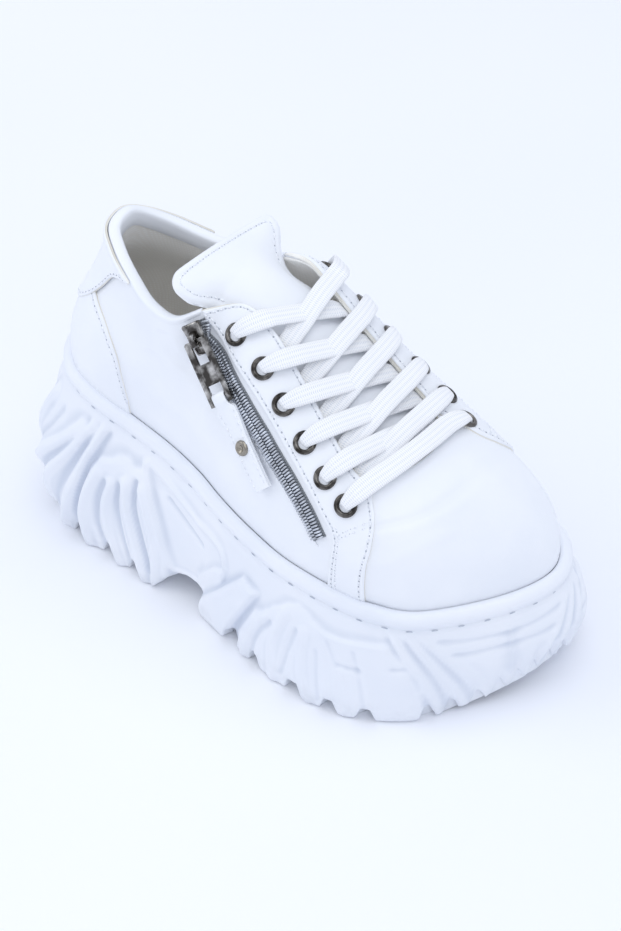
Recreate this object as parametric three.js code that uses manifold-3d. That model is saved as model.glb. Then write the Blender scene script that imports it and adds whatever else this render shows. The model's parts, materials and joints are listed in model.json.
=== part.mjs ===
// Platform sneaker, right shoe, in millimetres: +X to the toe, +Y to the inner side, +Z up.
// The shoe stands on its lugs at z = 0, with the origin under the middle of its box.

import * as THREE from 'three';
import { mergeVertices } from 'three/addons/utils/BufferGeometryUtils.js';
import Module from 'manifold-3d';

const wasm = await Module();
wasm.setup();

// ---------------------------------------------------------------- driving sizes

const GAP = 0.3; // clearance between pieces that touch
const WALL = 2.2; // leather and lining of the upper
const COLLAR_WALL = 4.6; // padded collar
const AROUND = 72; // ribs around the upper
const END_SECTIONS = 4; // sections at heel and toe that share one middle point
const RIB_STEPS = 7; // points up each rib

const BEAD = 5.6; // width of the rolled rim around the sole
const RIM_HEIGHT = 7; // of the rolled rim
const SOLE_AROUND = 96; // sections around the sole
const UNDER_INSET = 2; // rounding of the lugs' lower edge
const LUG_DEPTH = 6.5;
const GROOVE_FLARE = 1.2; // a groove's mouth is wider by this on each side
const GROOVE_TAPER = 0.8; // and its bottom narrower
const GROOVE_SPAN = 160; // length of the cutter, past both sides of the sole
const INSOLE_THICK = 3.5;

const EYELET_ROWS = { // places of the eyelets around the last, from the top pair down
  lateral: [7.3, 8.4, 9.32, 10.22, 11.08, 11.98],
  medial: [22.9, 21.5, 20.45, 19.42, 18.4, 17.35],
};
const EYELET_INSET = 12.5; // from the throat's edge
const EYELET_HOLE = 5.6; // bore of the metal ring
const EYELET_BARREL = 6.8;
const EYELET_FLANGE = 10;
const EYELET_TAIL = 0.6; // how far the barrel stands out inside the shoe
const EYELET_HEIGHT = 1.5; // of the rolled flange
const EYELET_SIDES = 10;
const EYELET_DRILL = 16; // length of the hole's cutter

const LACE_WIDTH = 8;
const LACE_THICK = 1.6;
// Heights of each pair of strands over the line between their eyelets: beside the eyelet, and
// where they go under the other side's facing.
const LACE_HEIGHTS = [
  { start: 10.3, end: 11 }, { start: 6.9, end: 9.2 }, { start: 6, end: 8.2 },
  { start: 5.4, end: 7.6 }, { start: 5.6, end: 8 },
];
const LACE_ARCH = 3; // rise of a lower strand between the two
const LACE_OVER = 1.2; // further rise of a strand that crosses over
const LACE_FROM = 0.17; // shares of the way across where a strand starts and ends
const LACE_TO = 0.7;
const LACE_TO_LAST = 0.62; // the lowest pair ends sooner, beside the vamp
const LACE_STEPS = 6;
const BAR_END = 6.2; // the same heights for the bar below the lowest pair
const BAR_ARCH = 10.5;
const BAR_SHIFT = 4; // how far the bar lies toward the toe
const BAR_FROM = 0.14; // shares of the way across where the bar starts and ends
const BAR_TO = 0.86;

const ZIP_WIDTH = 7.6;
const ZIP_THICK = 1.6;
const ZIP_STEPS = 20; // sections along the chain
const CHAIN_LIFT = 0.7; // zip's clearance over the leather
const SLIDER_LIFT = 1.4; // slider's clearance over the bent chain
const SLIDER_LENGTH = 14;
const SLIDER_WIDTH = 9;
const SLIDER_THICK = 2.6;
const SLIDER_SHOULDER = 4; // length of its wide end
const SLIDER_TAPER = 1.6; // how much narrower each side of its other end is
const BAIL_HEIGHT = 4.6; // arch on the slider that the pull hangs from
const BAIL_LENGTH = 8.4; // along the slider, at its foot
const BAIL_TOP = 4.4; // and at its top
const BAIL_WIDTH = 2.6;
const BAIL_HOLE = 3.4;
const BAIL_CLEAR = 0.1; // from the slider's face to the hole
const PULL_LENGTH = 34;
const PULL_WIDTH = 11;
const PULL_PRONG = 2.2; // width of each prong at its lower end
const PULL_PRONG_LENGTH = 9;
const PULL_THICK = 1.5;
const PULL_SHOULDER = 4; // length of its narrowed upper end
const WINDOW_END = 10; // the window round the bail: its far end and its width
const WINDOW_WIDTH = 4.8;
const PIN_RADIUS = 0.8; // cross pin between the prongs
const PIN_FROM_END = 3;
const STRAP_LENGTH = 36;
const STRAP_WIDTH = 9.6;
const STRAP_THICK = 2.2;
const STRAP_LOOP = 6; // narrow part of the strap round the pin
const RIVET_AT = 17; // from the pin to the rivet
const RIVET_SHANK = 1.6;
const RIVET_HEAD = 3.1;
const RIVET_TAIL = 2.4;
const RIVET_TAIL_THICK = 0.5;
const RIVET_DOME = 1.5; // height of the head

// ---------------------------------------------------------------- the last
// One row for each section, in order from the back of the heel, along the outer side, round the
// toe and back along the inner side. The foot of a rib (x, y, z) is on the sole's rim. Its top
// (topX, topY, topZ) is on the edge of the opening: collar, then throat. rise and lean say how
// the rib leaves the rim, out and drop how it comes to the edge.

const LAST = [
  { x: 4, y: 0, z: 91, topX: 25, topY: 3, topZ: 156, rise: 26, lean: 3, out: 0, drop: 24 },
  { x: 8, y: -17, z: 90, topX: 28, topY: -9, topZ: 154.5, rise: 26, lean: 3, out: 1, drop: 24 },
  { x: 20, y: -29, z: 87.5, topX: 39, topY: -17, topZ: 151, rise: 26, lean: 3, out: 2, drop: 24 },
  { x: 37, y: -32.5, z: 83, topX: 54, topY: -24, topZ: 147, rise: 26, lean: 3, out: 3, drop: 22 },
  { x: 58, y: -31, z: 77.5, topX: 70, topY: -29.5, topZ: 143, rise: 26, lean: 2, out: 3, drop: 22 },
  { x: 80, y: -31.5, z: 73.5, topX: 86, topY: -30, topZ: 143, rise: 26, lean: 2, out: 4, drop: 20 },
  { x: 98, y: -33.8, z: 70.2, topX: 98.5, topY: -21.5, topZ: 149.7, rise: 30, lean: 3, out: 9, drop: 16 },
  { x: 113, y: -37.7, z: 67.8, topX: 111, topY: -11.5, topZ: 151.8, rise: 32, lean: 4, out: 17, drop: 7 },
  { x: 127, y: -40.8, z: 65.8, topX: 126, topY: -11.8, topZ: 145.8, rise: 31, lean: 5, out: 20, drop: 4 },
  { x: 141, y: -43, z: 63.8, topX: 141, topY: -14.8, topZ: 135.2, rise: 29, lean: 5, out: 21, drop: 4 },
  { x: 155, y: -44.6, z: 62, topX: 156, topY: -18.8, topZ: 124.4, rise: 27, lean: 5, out: 20, drop: 5 },
  { x: 169, y: -44.2, z: 60.3, topX: 172, topY: -24, topZ: 115.2, rise: 25, lean: 5, out: 17, drop: 7 },
  { x: 184, y: -42.4, z: 58.6, topX: 185, topY: -27, topZ: 109, rise: 26, lean: 5, out: 14, drop: 8 },
  { x: 201, y: -38.3, z: 57, topX: 192.5, topY: -21, topZ: 107.5, rise: 26, lean: 5, out: 18, drop: 8 },
  { x: 218, y: -28, z: 55.8, topX: 195.5, topY: -10, topZ: 107.8, rise: 28, lean: 4, out: 22, drop: 6 },
  { x: 237, y: 2, z: 55, topX: 196.5, topY: 0, topZ: 108, rise: 28, lean: 3, out: 22, drop: 4 },
  { x: 243, y: 27, z: 55.2, topX: 195, topY: 9, topZ: 108, rise: 28, lean: 3, out: 22, drop: 5 },
  { x: 232, y: 43, z: 56.6, topX: 188, topY: 20, topZ: 108.8, rise: 27, lean: 4, out: 19, drop: 6 },
  { x: 211, y: 48, z: 58.5, topX: 179, topY: 24, topZ: 112.5, rise: 28, lean: 4, out: 17, drop: 6 },
  { x: 190, y: 48, z: 60.3, topX: 167, topY: 24.5, topZ: 119, rise: 29, lean: 4, out: 19, drop: 4 },
  { x: 170, y: 45.5, z: 62.3, topX: 154, topY: 24.5, topZ: 127.2, rise: 31, lean: 5, out: 20, drop: 3 },
  { x: 151, y: 41.5, z: 64.6, topX: 140, topY: 24.5, topZ: 136.4, rise: 34, lean: 5, out: 21, drop: 2 },
  { x: 133, y: 38, z: 67.2, topX: 126, topY: 25.2, topZ: 145.6, rise: 36, lean: 5, out: 20, drop: 3 },
  { x: 115, y: 35, z: 70, topX: 112, topY: 27, topZ: 152.2, rise: 36, lean: 4, out: 17, drop: 6 },
  { x: 96, y: 32.5, z: 73.3, topX: 99, topY: 28.5, topZ: 150.4, rise: 31, lean: 3, out: 8, drop: 17 },
  { x: 78, y: 31.5, z: 76.5, topX: 86, topY: 31, topZ: 144, rise: 28, lean: 2, out: 3, drop: 20 },
  { x: 58, y: 31.2, z: 80, topX: 69, topY: 28.5, topZ: 142, rise: 26, lean: 2, out: 2, drop: 22 },
  { x: 37, y: 31, z: 84, topX: 53, topY: 25, topZ: 144, rise: 26, lean: 3, out: 2, drop: 22 },
  { x: 20, y: 27, z: 88, topX: 38, topY: 21, topZ: 147, rise: 26, lean: 3, out: 1, drop: 24 },
  { x: 8, y: 15, z: 90.5, topX: 28, topY: 13, topZ: 152, rise: 26, lean: 3, out: 0, drop: 24 },
];
const ROWS = LAST.length;

// How far the sole stands out past the foot of the ribs, at the ground and at its belly, row by row.
const SOLE_REACH = [
  { foot: 13, belly: 17 }, { foot: 17, belly: 22 }, { foot: 16, belly: 19 }, { foot: 12, belly: 13 },
  { foot: 14, belly: 12 }, { foot: 14, belly: 11 }, { foot: 9, belly: 8 }, { foot: 8, belly: 8 },
  { foot: 8, belly: 8 }, { foot: 10, belly: 9 }, { foot: 11, belly: 9 }, { foot: 12, belly: 9 },
  { foot: 13, belly: 10 }, { foot: 11, belly: 9 }, { foot: 7, belly: 8 }, { foot: 6, belly: 8 },
  { foot: 6, belly: 10 }, { foot: 7, belly: 11 }, { foot: 8, belly: 9 }, { foot: 10, belly: 9 },
  { foot: 10, belly: 9 }, { foot: 9, belly: 8 }, { foot: 8, belly: 8 }, { foot: 8, belly: 8 },
  { foot: 9, belly: 8 }, { foot: 13, belly: 11 }, { foot: 14, belly: 12 }, { foot: 12, belly: 13 },
  { foot: 16, belly: 19 }, { foot: 17, belly: 22 },
];

// Underside and footbed along the shoe: z of the ground face, z of the insole's seat.
const GROUND = [
  { x: -14, z: 0 }, { x: 78, z: 0 }, { x: 84, z: 8 }, { x: 92, z: 13 }, { x: 101, z: 12 },
  { x: 107, z: 2 }, { x: 110, z: 0 }, { x: 225, z: 0 }, { x: 235, z: 3 }, { x: 244, z: 7.5 },
  { x: 252, z: 13 },
];
const SEAT = [
  { x: 0, z: 78 }, { x: 30, z: 75 }, { x: 60, z: 69 }, { x: 90, z: 61.5 }, { x: 120, z: 54.5 },
  { x: 150, z: 49.5 }, { x: 180, z: 46.5 }, { x: 210, z: 45.5 }, { x: 245, z: 46 },
];

// Grooves across the sole between its lugs: place, width at the ground, slant in the plan.
const GROOVES = [
  { x: 4, width: 7, slant: -0.25 }, { x: 23, width: 8, slant: -0.12 }, { x: 41, width: 7, slant: 0 },
  { x: 57, width: 7, slant: 0.1 }, { x: 131, width: 6, slant: 0 }, { x: 152, width: 8, slant: -0.05 },
  { x: 173, width: 8, slant: 0 }, { x: 191, width: 7, slant: 0.05 }, { x: 214, width: 6, slant: 0.3 },
  { x: 225, width: 5, slant: 0.4 },
];

// The tongue: place along the shoe, its middle, half width, how far its sides drop, thickness.
const TONGUE = [
  { x: 80, y: 3.4, z: 162.6, half: 27, drop: 5, thick: 4.2 },
  { x: 87, y: 3.6, z: 161, half: 26, drop: 7, thick: 4.2 },
  { x: 94, y: 3.8, z: 158.6, half: 22.8, drop: 9, thick: 4.2 },
  { x: 103, y: 4.2, z: 154.6, half: 21, drop: 10, thick: 4.2 },
  { x: 115, y: 5, z: 148.2, half: 21, drop: 8, thick: 4 },
  { x: 130, y: 5.2, z: 140.2, half: 22.5, drop: 8, thick: 3.6 },
  { x: 145, y: 5, z: 130.6, half: 24.5, drop: 8, thick: 3.2 },
  { x: 160, y: 3.8, z: 120.4, half: 26.5, drop: 9, thick: 3 },
  { x: 175, y: 1.6, z: 111.6, half: 28, drop: 9, thick: 3 },
  { x: 189, y: -1, z: 104, half: 28, drop: 9, thick: 2.6 },
  { x: 203, y: -3, z: 97.6, half: 25, drop: 7, thick: 2.2 },
];

// The zip's line on the upper: row of the last, height up the rib from 0 to 1.
const ZIP_LINE = [
  { row: 5.75, up: 0.93 }, { row: 6.2, up: 0.77 }, { row: 7.2, up: 0.635 }, { row: 8.2, up: 0.585 },
  { row: 9.2, up: 0.568 }, { row: 10.2, up: 0.53 }, { row: 11.0, up: 0.455 }, { row: 11.5, up: 0.355 },
];
const ZIP_SLIDER_AT = 0.12; // place of the slider along the zip's line, 0 at its top
const PULL_SWING = -0.11; // the pull's turn off the zip's line, radians
const PULL_TIP = 0.14; // and its lean out of the quarter

// ---------------------------------------------------------------- materials

const finish = (color, roughness, metalness = 0) =>
  new THREE.MeshStandardMaterial({ color, roughness, metalness });

const WHITE_LEATHER = finish('#eff1f5', 0.45);
const WHITE_SOLE = finish('#edf0f5', 0.55);
const LINING = finish('#e6e5df', 0.9);
const LACE_WHITE = finish('#f4f5f7', 0.85);
const GUNMETAL = finish('#5f605f', 0.3, 1);
const SILVER = finish('#a9a9a6', 0.3, 1);

// ---------------------------------------------------------------- helpers

const v = (x, y, z) => new THREE.Vector3(x, y, z);

// Value of one column at a fractional place in a closed table, on a smooth curve.
function around(table, column, place) {
  const n = table.length;
  const t = ((place % n) + n) % n;
  const i = Math.floor(t);
  const f = t - i;
  const [a, b, c, d] = [-1, 0, 1, 2].map((k) => table[(i + k + n) % n][column]);
  return 0.5 * (2 * b + (c - a) * f + (2 * a - 5 * b + 4 * c - d) * f * f
    + (3 * b - a - 3 * c + d) * f * f * f);
}

// Value of one column at x in a table that runs along the shoe, in straight runs.
function along(table, column, x) {
  const last = table.length - 1;
  let i = table.findIndex((r, k) => k < last && x <= table[k + 1].x);
  if (i < 0) i = last - 1;
  const f = THREE.MathUtils.clamp((x - table[i].x) / (table[i + 1].x - table[i].x), 0, 1);
  return THREE.MathUtils.lerp(table[i][column], table[i + 1][column], f);
}

// A closed mesh from rows of points that close on themselves, joined ring to ring.
// closing says how the first and last ring are shut: 'loop' joins them, 'fold' leaves them to
// points that already meet.
function ringGeometry(rings, closing) {
  const count = rings[0].length;
  const points = rings.flat();
  const index = [];
  const bands = closing === 'loop' ? rings.length : rings.length - 1;
  for (let k = 0; k < bands; k++) {
    const a = k * count;
    const b = ((k + 1) % rings.length) * count;
    for (let i = 0; i < count; i++) {
      const j = (i + 1) % count;
      index.push(a + i, a + j, b + j, a + i, b + j, b + i);
    }
  }
  return closedGeometry(points, index);
}

// The same with a flat end at each side, shut onto its middle.
function bandGeometry(rings) {
  const cap = (ring) => {
    const centre = ring.reduce((sum, p) => sum.add(p), v()).multiplyScalar(1 / ring.length);
    return ring.map(() => centre);
  };
  return ringGeometry([cap(rings[0]), ...rings, cap(rings[rings.length - 1])], 'fold');
}

function closedGeometry(points, index) {
  const raw = new THREE.BufferGeometry().setFromPoints(points);
  raw.setIndex(index);
  return faceOut(weld(raw));
}

// Shared corners merged, and the faces dropped that shrink to a line by it.
function weld(geometry) {
  const merged = mergeVertices(geometry, 1e-3);
  const id = merged.index.array;
  const kept = [];
  for (let k = 0; k < id.length; k += 3) {
    const [a, b, c] = [id[k], id[k + 1], id[k + 2]];
    if (a !== b && b !== c && a !== c) kept.push(a, b, c);
  }
  merged.setIndex(kept);
  return merged;
}

// Turns the faces round if the enclosed volume comes out negative.
function faceOut(geometry) {
  const p = geometry.attributes.position;
  const id = geometry.index.array;
  const [a, b, c] = [v(), v(), v()];
  let volume = 0;
  for (let k = 0; k < id.length; k += 3) {
    a.fromBufferAttribute(p, id[k]);
    b.fromBufferAttribute(p, id[k + 1]);
    c.fromBufferAttribute(p, id[k + 2]);
    volume += a.dot(b.cross(c));
  }
  if (volume < 0) {
    for (let k = 0; k < id.length; k += 3) [id[k], id[k + 1]] = [id[k + 1], id[k]];
  }
  return geometry;
}

function toSolid(geometry) {
  const g = geometry.clone();
  g.deleteAttribute('normal');
  g.deleteAttribute('uv');
  const m = weld(g);
  return new wasm.Manifold(new wasm.Mesh({
    numProp: 3,
    vertProperties: new Float32Array(m.attributes.position.array),
    triVerts: new Uint32Array(m.index.array),
  }));
}

function fromSolid(solid) {
  const m = solid.getMesh();
  const g = new THREE.BufferGeometry();
  g.setAttribute('position', new THREE.BufferAttribute(new Float32Array(m.vertProperties), 3));
  g.setIndex(new THREE.BufferAttribute(new Uint32Array(m.triVerts), 1));
  return g;
}

// A round hole for a shape, as a polygon whose ends aren't repeated.
function roundHole(x, y, radius, sides) {
  const corner = (_, k) => {
    const a = ((k + 0.5) / sides) * 2 * Math.PI;
    return new THREE.Vector2(x + radius * Math.cos(a), y + radius * Math.sin(a));
  };
  return new THREE.Path(Array.from({ length: sides }, corner));
}

const group = new THREE.Group();

function add(name, geometry, material) {
  const mesh = new THREE.Mesh(geometry, material);
  mesh.name = name;
  group.add(mesh);
  return mesh;
}

// A matrix whose X, Y and Z axes and origin are the four vectors.
const framed = (x, y, z, at) => new THREE.Matrix4().makeBasis(x, y, z).setPosition(at);

// ---------------------------------------------------------------- surfaces of the last

const foot = (t) => v(around(LAST, 'x', t), around(LAST, 'y', t), around(LAST, 'z', t));
const top = (t) => v(around(LAST, 'topX', t), around(LAST, 'topY', t), around(LAST, 'topZ', t));

// Level direction that points out of the shoe at place t.
function outward(t) {
  const d = foot(t + 0.05).sub(foot(t - 0.05));
  return v(d.y, -d.x, 0).normalize();
}

// Outer face of the upper: t around the last, s from the rim (0) to the opening's edge (1).
function upperPoint(t, s) {
  const a = foot(t);
  const d = top(t);
  const n = outward(t);
  const b = a.clone().addScaledVector(n, around(LAST, 'lean', t));
  b.z += around(LAST, 'rise', t);
  const c = d.clone().addScaledVector(n, around(LAST, 'out', t));
  c.z -= around(LAST, 'drop', t);
  const u = 1 - s;
  return a.multiplyScalar(u * u * u)
    .addScaledVector(b, 3 * u * u * s)
    .addScaledVector(c, 3 * u * s * s)
    .addScaledVector(d, s * s * s);
}

function upperNormal(t, s) {
  const lo = Math.max(0, s - 0.02);
  const hi = Math.min(1, s + 0.02);
  const ds = upperPoint(t, hi).sub(upperPoint(t, lo));
  const dt = upperPoint(t + 0.1, s).sub(upperPoint(t - 0.1, s));
  return dt.cross(ds).normalize();
}

// Leather thickness: thin at the vamp and the facings, padded round the collar.
function wallAt(t, s) {
  const fromHeel = Math.min(t, ROWS - t);
  const collar = 1 - THREE.MathUtils.smoothstep(fromHeel, 4.2, 6.2);
  return WALL + (COLLAR_WALL - WALL) * collar * THREE.MathUtils.smoothstep(s, 0.35, 0.8);
}

// Place up the rib whose point lies the given distance from the opening's edge.
function upFromEdge(t, distance) {
  const edge = top(t);
  let s = 1;
  while (upperPoint(t, s).distanceTo(edge) < distance) s -= 0.005;
  return s;
}

const seatAt = (x) => along(SEAT, 'z', x);

// ---------------------------------------------------------------- upper

function makeUpper() {
  const rings = [];
  const places = Array.from({ length: AROUND }, (_, i) => (i * ROWS) / AROUND);
  const skirt = (t) => {
    const p = foot(t);
    p.z = seatAt(p.x) + GAP;
    return p;
  };
  rings.push(places.map(skirt));
  for (let k = 0; k <= RIB_STEPS; k++) {
    rings.push(places.map((t) => upperPoint(t, k / RIB_STEPS)));
  }
  for (let k = RIB_STEPS; k >= 0; k--) {
    const s = k / RIB_STEPS;
    rings.push(places.map((t) => {
      const n = k === 0 ? outward(t) : upperNormal(t, s);
      return upperPoint(t, s).addScaledVector(n, -wallAt(t, s));
    }));
  }
  rings.push(places.map((t) => skirt(t).addScaledVector(outward(t), -WALL)));
  let solid = toSolid(ringGeometry(rings, 'loop'));
  const drillRadius = EYELET_BARREL / 2 + GAP;
  for (const e of eyeletPlaces()) {
    const drill = new THREE.CylinderGeometry(drillRadius, drillRadius, EYELET_DRILL, 8);
    drill.rotateX(Math.PI / 2);
    drill.applyMatrix4(e.frame);
    solid = solid.subtract(toSolid(drill));
  }
  return fromSolid(solid);
}

// Frame of each eyelet: origin on the leather, Z out of it.
function eyeletPlaces() {
  const places = [];
  for (const [side, rows] of Object.entries(EYELET_ROWS)) {
    rows.forEach((t, i) => {
      const s = upFromEdge(t, EYELET_INSET);
      const at = upperPoint(t, s);
      const z = upperNormal(t, s);
      const x = upperPoint(t + 0.1, s).sub(upperPoint(t - 0.1, s)).normalize();
      const y = z.clone().cross(x).normalize();
      x.copy(y).cross(z);
      places.push({ side, number: i + 1, at, frame: framed(x, y, z, at) });
    });
  }
  return places;
}

// Rolled metal ring: a barrel through the facing with a rounded flange on the leather.
function makeEyelets() {
  const r = EYELET_HOLE / 2;
  const b = EYELET_BARREL / 2;
  const f = EYELET_FLANGE / 2;
  const tail = -WALL - EYELET_TAIL;
  const profile = [
    [r, tail], [b, tail], [b, GAP], [f, GAP], [f - 0.5, EYELET_HEIGHT - GAP], [f - 1.4, EYELET_HEIGHT],
    [r, 0.6], [r, tail],
  ].map(([x, y]) => new THREE.Vector2(x, y));
  for (const e of eyeletPlaces()) {
    const ring = new THREE.LatheGeometry(profile, EYELET_SIDES);
    ring.rotateX(Math.PI / 2);
    ring.applyMatrix4(e.frame);
    add(`eyelet_${e.side}_${e.number}`, fromSolid(toSolid(ring)), GUNMETAL);
  }
}

// ---------------------------------------------------------------- sole

function makeSole() {
  const half = SOLE_AROUND / 2;
  const places = Array.from({ length: SOLE_AROUND }, (_, i) => (i * ROWS) / SOLE_AROUND);
  const pushed = (t, distance, z) => {
    const p = foot(t).addScaledVector(outward(t), distance);
    p.z = z === undefined ? p.z : z;
    return p;
  };
  // Middle line of the underside and of the cup: the mean of the two sides, pulled in at the ends.
  const middle = (i, zOf) => {
    const k = Math.min(i, SOLE_AROUND - i);
    const inner = THREE.MathUtils.clamp(k, END_SECTIONS, half - END_SECTIONS);
    const across = foot(places[(SOLE_AROUND - inner) % SOLE_AROUND]);
    const m = foot(places[inner]).add(across).multiplyScalar(0.5);
    m.z = zOf(m.x);
    return m;
  };
  const ground = (x) => along(GROUND, 'z', x);
  const side = (distanceOf, share) => places.map((t) => {
    const p = pushed(t, distanceOf(t));
    const low = ground(p.x);
    p.z = low + (foot(t).z - low) * share;
    return p;
  });
  const footOf = (t) => around(SOLE_REACH, 'foot', t);
  const bellyOf = (t) => around(SOLE_REACH, 'belly', t);
  const underside = (inset, share) => places.map((t, i) => {
    const p = pushed(t, footOf(t) - inset);
    p.lerp(middle(i, ground), share);
    p.z = ground(p.x);
    return p;
  });
  const rim = (distance, lift) => places.map((t) => pushed(t, distance, foot(t).z + lift));
  const cup = (share) => places.map((t, i) => {
    const p = pushed(t, GAP);
    p.lerp(middle(i, seatAt), share);
    p.z = seatAt(p.x);
    return p;
  });
  const rings = [
    underside(UNDER_INSET, 1), underside(UNDER_INSET, 0.66), underside(UNDER_INSET, 0.33),
    underside(UNDER_INSET, 0),
    side(footOf, 0.07), side(bellyOf, 0.38), side((t) => 0.5 * (bellyOf(t) + BEAD) - 0.6, 0.7),
    rim(BEAD - 1.6, -RIM_HEIGHT), rim(BEAD - 0.4, 1.6 - RIM_HEIGHT), rim(BEAD, -2.6),
    rim(BEAD - 2, 0.4), rim(BEAD - 4, 0.6), rim(GAP, -0.4), cup(0), cup(0.5), cup(1),
  ];
  let solid = toSolid(ringGeometry(rings, 'fold'));
  for (const groove of GROOVES) solid = solid.subtract(toSolid(grooveCutter(groove)));
  return fromSolid(solid);
}

// A bar with sloping sides that cuts one groove across the underside.
function grooveCutter({ x, width, slant }) {
  const w = width / 2;
  const shape = new THREE.Shape([
    new THREE.Vector2(-w - GROOVE_FLARE, -2), new THREE.Vector2(w + GROOVE_FLARE, -2),
    new THREE.Vector2(w - GROOVE_TAPER, LUG_DEPTH), new THREE.Vector2(-w + GROOVE_TAPER, LUG_DEPTH),
  ]);
  const bar = new THREE.ExtrudeGeometry(shape, { depth: GROOVE_SPAN, bevelEnabled: false });
  bar.translate(0, 0, -GROOVE_SPAN / 2);
  bar.rotateX(Math.PI / 2);
  bar.rotateZ(slant);
  bar.translate(x, 0, 0);
  return bar;
}

// ---------------------------------------------------------------- insole and tongue

function makeInsole() {
  const half = AROUND / 2;
  const places = Array.from({ length: AROUND }, (_, i) => (i * ROWS) / AROUND);
  const inset = WALL + 2 * GAP;
  const layer = (share, lift) => places.map((t, i) => {
    const p = foot(t).addScaledVector(outward(t), -inset);
    const k = THREE.MathUtils.clamp(Math.min(i, AROUND - i), END_SECTIONS, half - END_SECTIONS);
    const m = foot(places[k]).add(foot(places[(AROUND - k) % AROUND])).multiplyScalar(0.5);
    p.lerp(m, share);
    p.z = seatAt(p.x) + lift;
    return p;
  });
  const low = GAP + 0.2;
  const high = low + INSOLE_THICK;
  return ringGeometry([
    layer(1, low), layer(0.5, low), layer(0, low), layer(0, high), layer(0.5, high), layer(1, high),
  ], 'fold');
}

function makeTongue() {
  const steps = 10;
  const sections = TONGUE.map((r, k) => {
    const ring = [];
    const next = TONGUE[Math.min(k + 1, TONGUE.length - 1)];
    const before = TONGUE[Math.max(k - 1, 0)];
    const slope = v(next.x - before.x, 0, next.z - before.z).normalize();
    const down = v(slope.z, 0, -slope.x);
    const point = (u, depth) => {
      const p = v(r.x, r.y + u * r.half, r.z - r.drop * Math.abs(u) ** 2.2);
      return p.addScaledVector(down, depth * (1 - 0.55 * u ** 4));
    };
    for (let i = 0; i <= steps; i++) ring.push(point(-1 + (2 * i) / steps, 0));
    for (let i = steps; i >= 0; i--) ring.push(point(-1 + (2 * i) / steps, r.thick));
    return ring;
  });
  return bandGeometry(sections);
}

// ---------------------------------------------------------------- lace

const EYELETS = EYELET_ROWS.lateral.length;

// A flat ribbon through the points, its width across the path and level with the throat.
function ribbon(points, up) {
  const curve = new THREE.CatmullRomCurve3(points);
  const rings = [];
  for (let k = 0; k <= LACE_STEPS; k++) {
    const p = curve.getPoint(k / LACE_STEPS);
    const heading = curve.getTangent(k / LACE_STEPS);
    const across = up.clone().cross(heading).normalize();
    const lift = heading.clone().cross(across).normalize();
    rings.push([[-1, -1], [1, -1], [1, 1], [-1, 1]].map(([a, b]) => p.clone()
      .addScaledVector(across, (a * LACE_WIDTH) / 2)
      .addScaledVector(lift, (b * LACE_THICK) / 2)));
  }
  return bandGeometry(rings);
}

// Crossings between the two rows of eyelets and the bar over the last pair. Each strand leaves
// the leather beside its eyelet, rises over the tongue and ends over the other throat edge.
function makeLace() {
  const at = {};
  for (const e of eyeletPlaces()) at[`${e.side}${e.number}`] = e;
  const normal = (e) => v().setFromMatrixColumn(e.frame, 2);
  const strand = (from, to, reach, { start: near, end: far }, lift) => {
    const up = normal(from).add(normal(to)).normalize();
    const start = from.at.clone().lerp(to.at, LACE_FROM).addScaledVector(up, near);
    const end = from.at.clone().lerp(to.at, reach).addScaledVector(up, far);
    const mid = start.clone().add(end).multiplyScalar(0.5).addScaledVector(up, lift);
    return toSolid(ribbon([start, mid, end], up));
  };
  for (let i = 1; i < EYELETS; i++) {
    const reach = i < EYELETS - 1 ? LACE_TO : LACE_TO_LAST;
    const heights = LACE_HEIGHTS[i - 1];
    const low = strand(at[`lateral${i}`], at[`medial${i + 1}`], reach, heights, LACE_ARCH);
    const rise = LACE_ARCH + LACE_OVER;
    const high = strand(at[`medial${i}`], at[`lateral${i + 1}`], reach, heights, rise);
    add(`lace_crossing_${i}`, fromSolid(low.add(high)), LACE_WHITE);
  }
  const a = at[`lateral${EYELETS}`];
  const b = at[`medial${EYELETS}`];
  const up = normal(a).add(normal(b)).normalize();
  const onBar = (share, lift) => {
    const p = a.at.clone().lerp(b.at, share).addScaledVector(up, lift);
    return p.add(v(BAR_SHIFT, 0, 0));
  };
  const bar = [onBar(BAR_FROM, BAR_END), onBar(0.5, BAR_ARCH), onBar(BAR_TO, BAR_END)];
  add('lace_bar', ribbon(bar, up), LACE_WHITE);
}

// ---------------------------------------------------------------- zip

const zipCurve = new THREE.CatmullRomCurve3(ZIP_LINE.map(({ row, up }) => upperPoint(row, up)));

// Normal of the upper at a place along the zip, from 0 to 1.
function zipNormal(k) {
  const place = k * (ZIP_LINE.length - 1);
  const i = Math.min(Math.floor(place), ZIP_LINE.length - 2);
  const f = place - i;
  const row = THREE.MathUtils.lerp(ZIP_LINE[i].row, ZIP_LINE[i + 1].row, f);
  const up = THREE.MathUtils.lerp(ZIP_LINE[i].up, ZIP_LINE[i + 1].up, f);
  return upperNormal(row, up);
}

function makeZipChain() {
  const rings = [];
  for (let k = 0; k <= ZIP_STEPS; k++) {
    const share = k / ZIP_STEPS;
    const p = zipCurve.getPoint(share);
    const z = zipNormal(share);
    const across = z.clone().cross(zipCurve.getTangent(share)).normalize();
    rings.push([[-1, 0], [1, 0], [1, 1], [-1, 1]].map(([a, b]) => p.clone()
      .addScaledVector(across, (a * ZIP_WIDTH) / 2)
      .addScaledVector(z, CHAIN_LIFT + b * ZIP_THICK)));
  }
  return bandGeometry(rings);
}

// Frame at the slider: X down the zip, Z out of the leather, origin on the chain's top face.
function sliderFrame() {
  const z = zipNormal(ZIP_SLIDER_AT);
  const x = zipCurve.getTangent(ZIP_SLIDER_AT);
  const y = z.clone().cross(x).normalize();
  x.copy(y).cross(z);
  const lift = CHAIN_LIFT + ZIP_THICK + SLIDER_LIFT;
  const at = zipCurve.getPoint(ZIP_SLIDER_AT).addScaledVector(z, lift);
  return { x, y, z, at };
}

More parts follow.
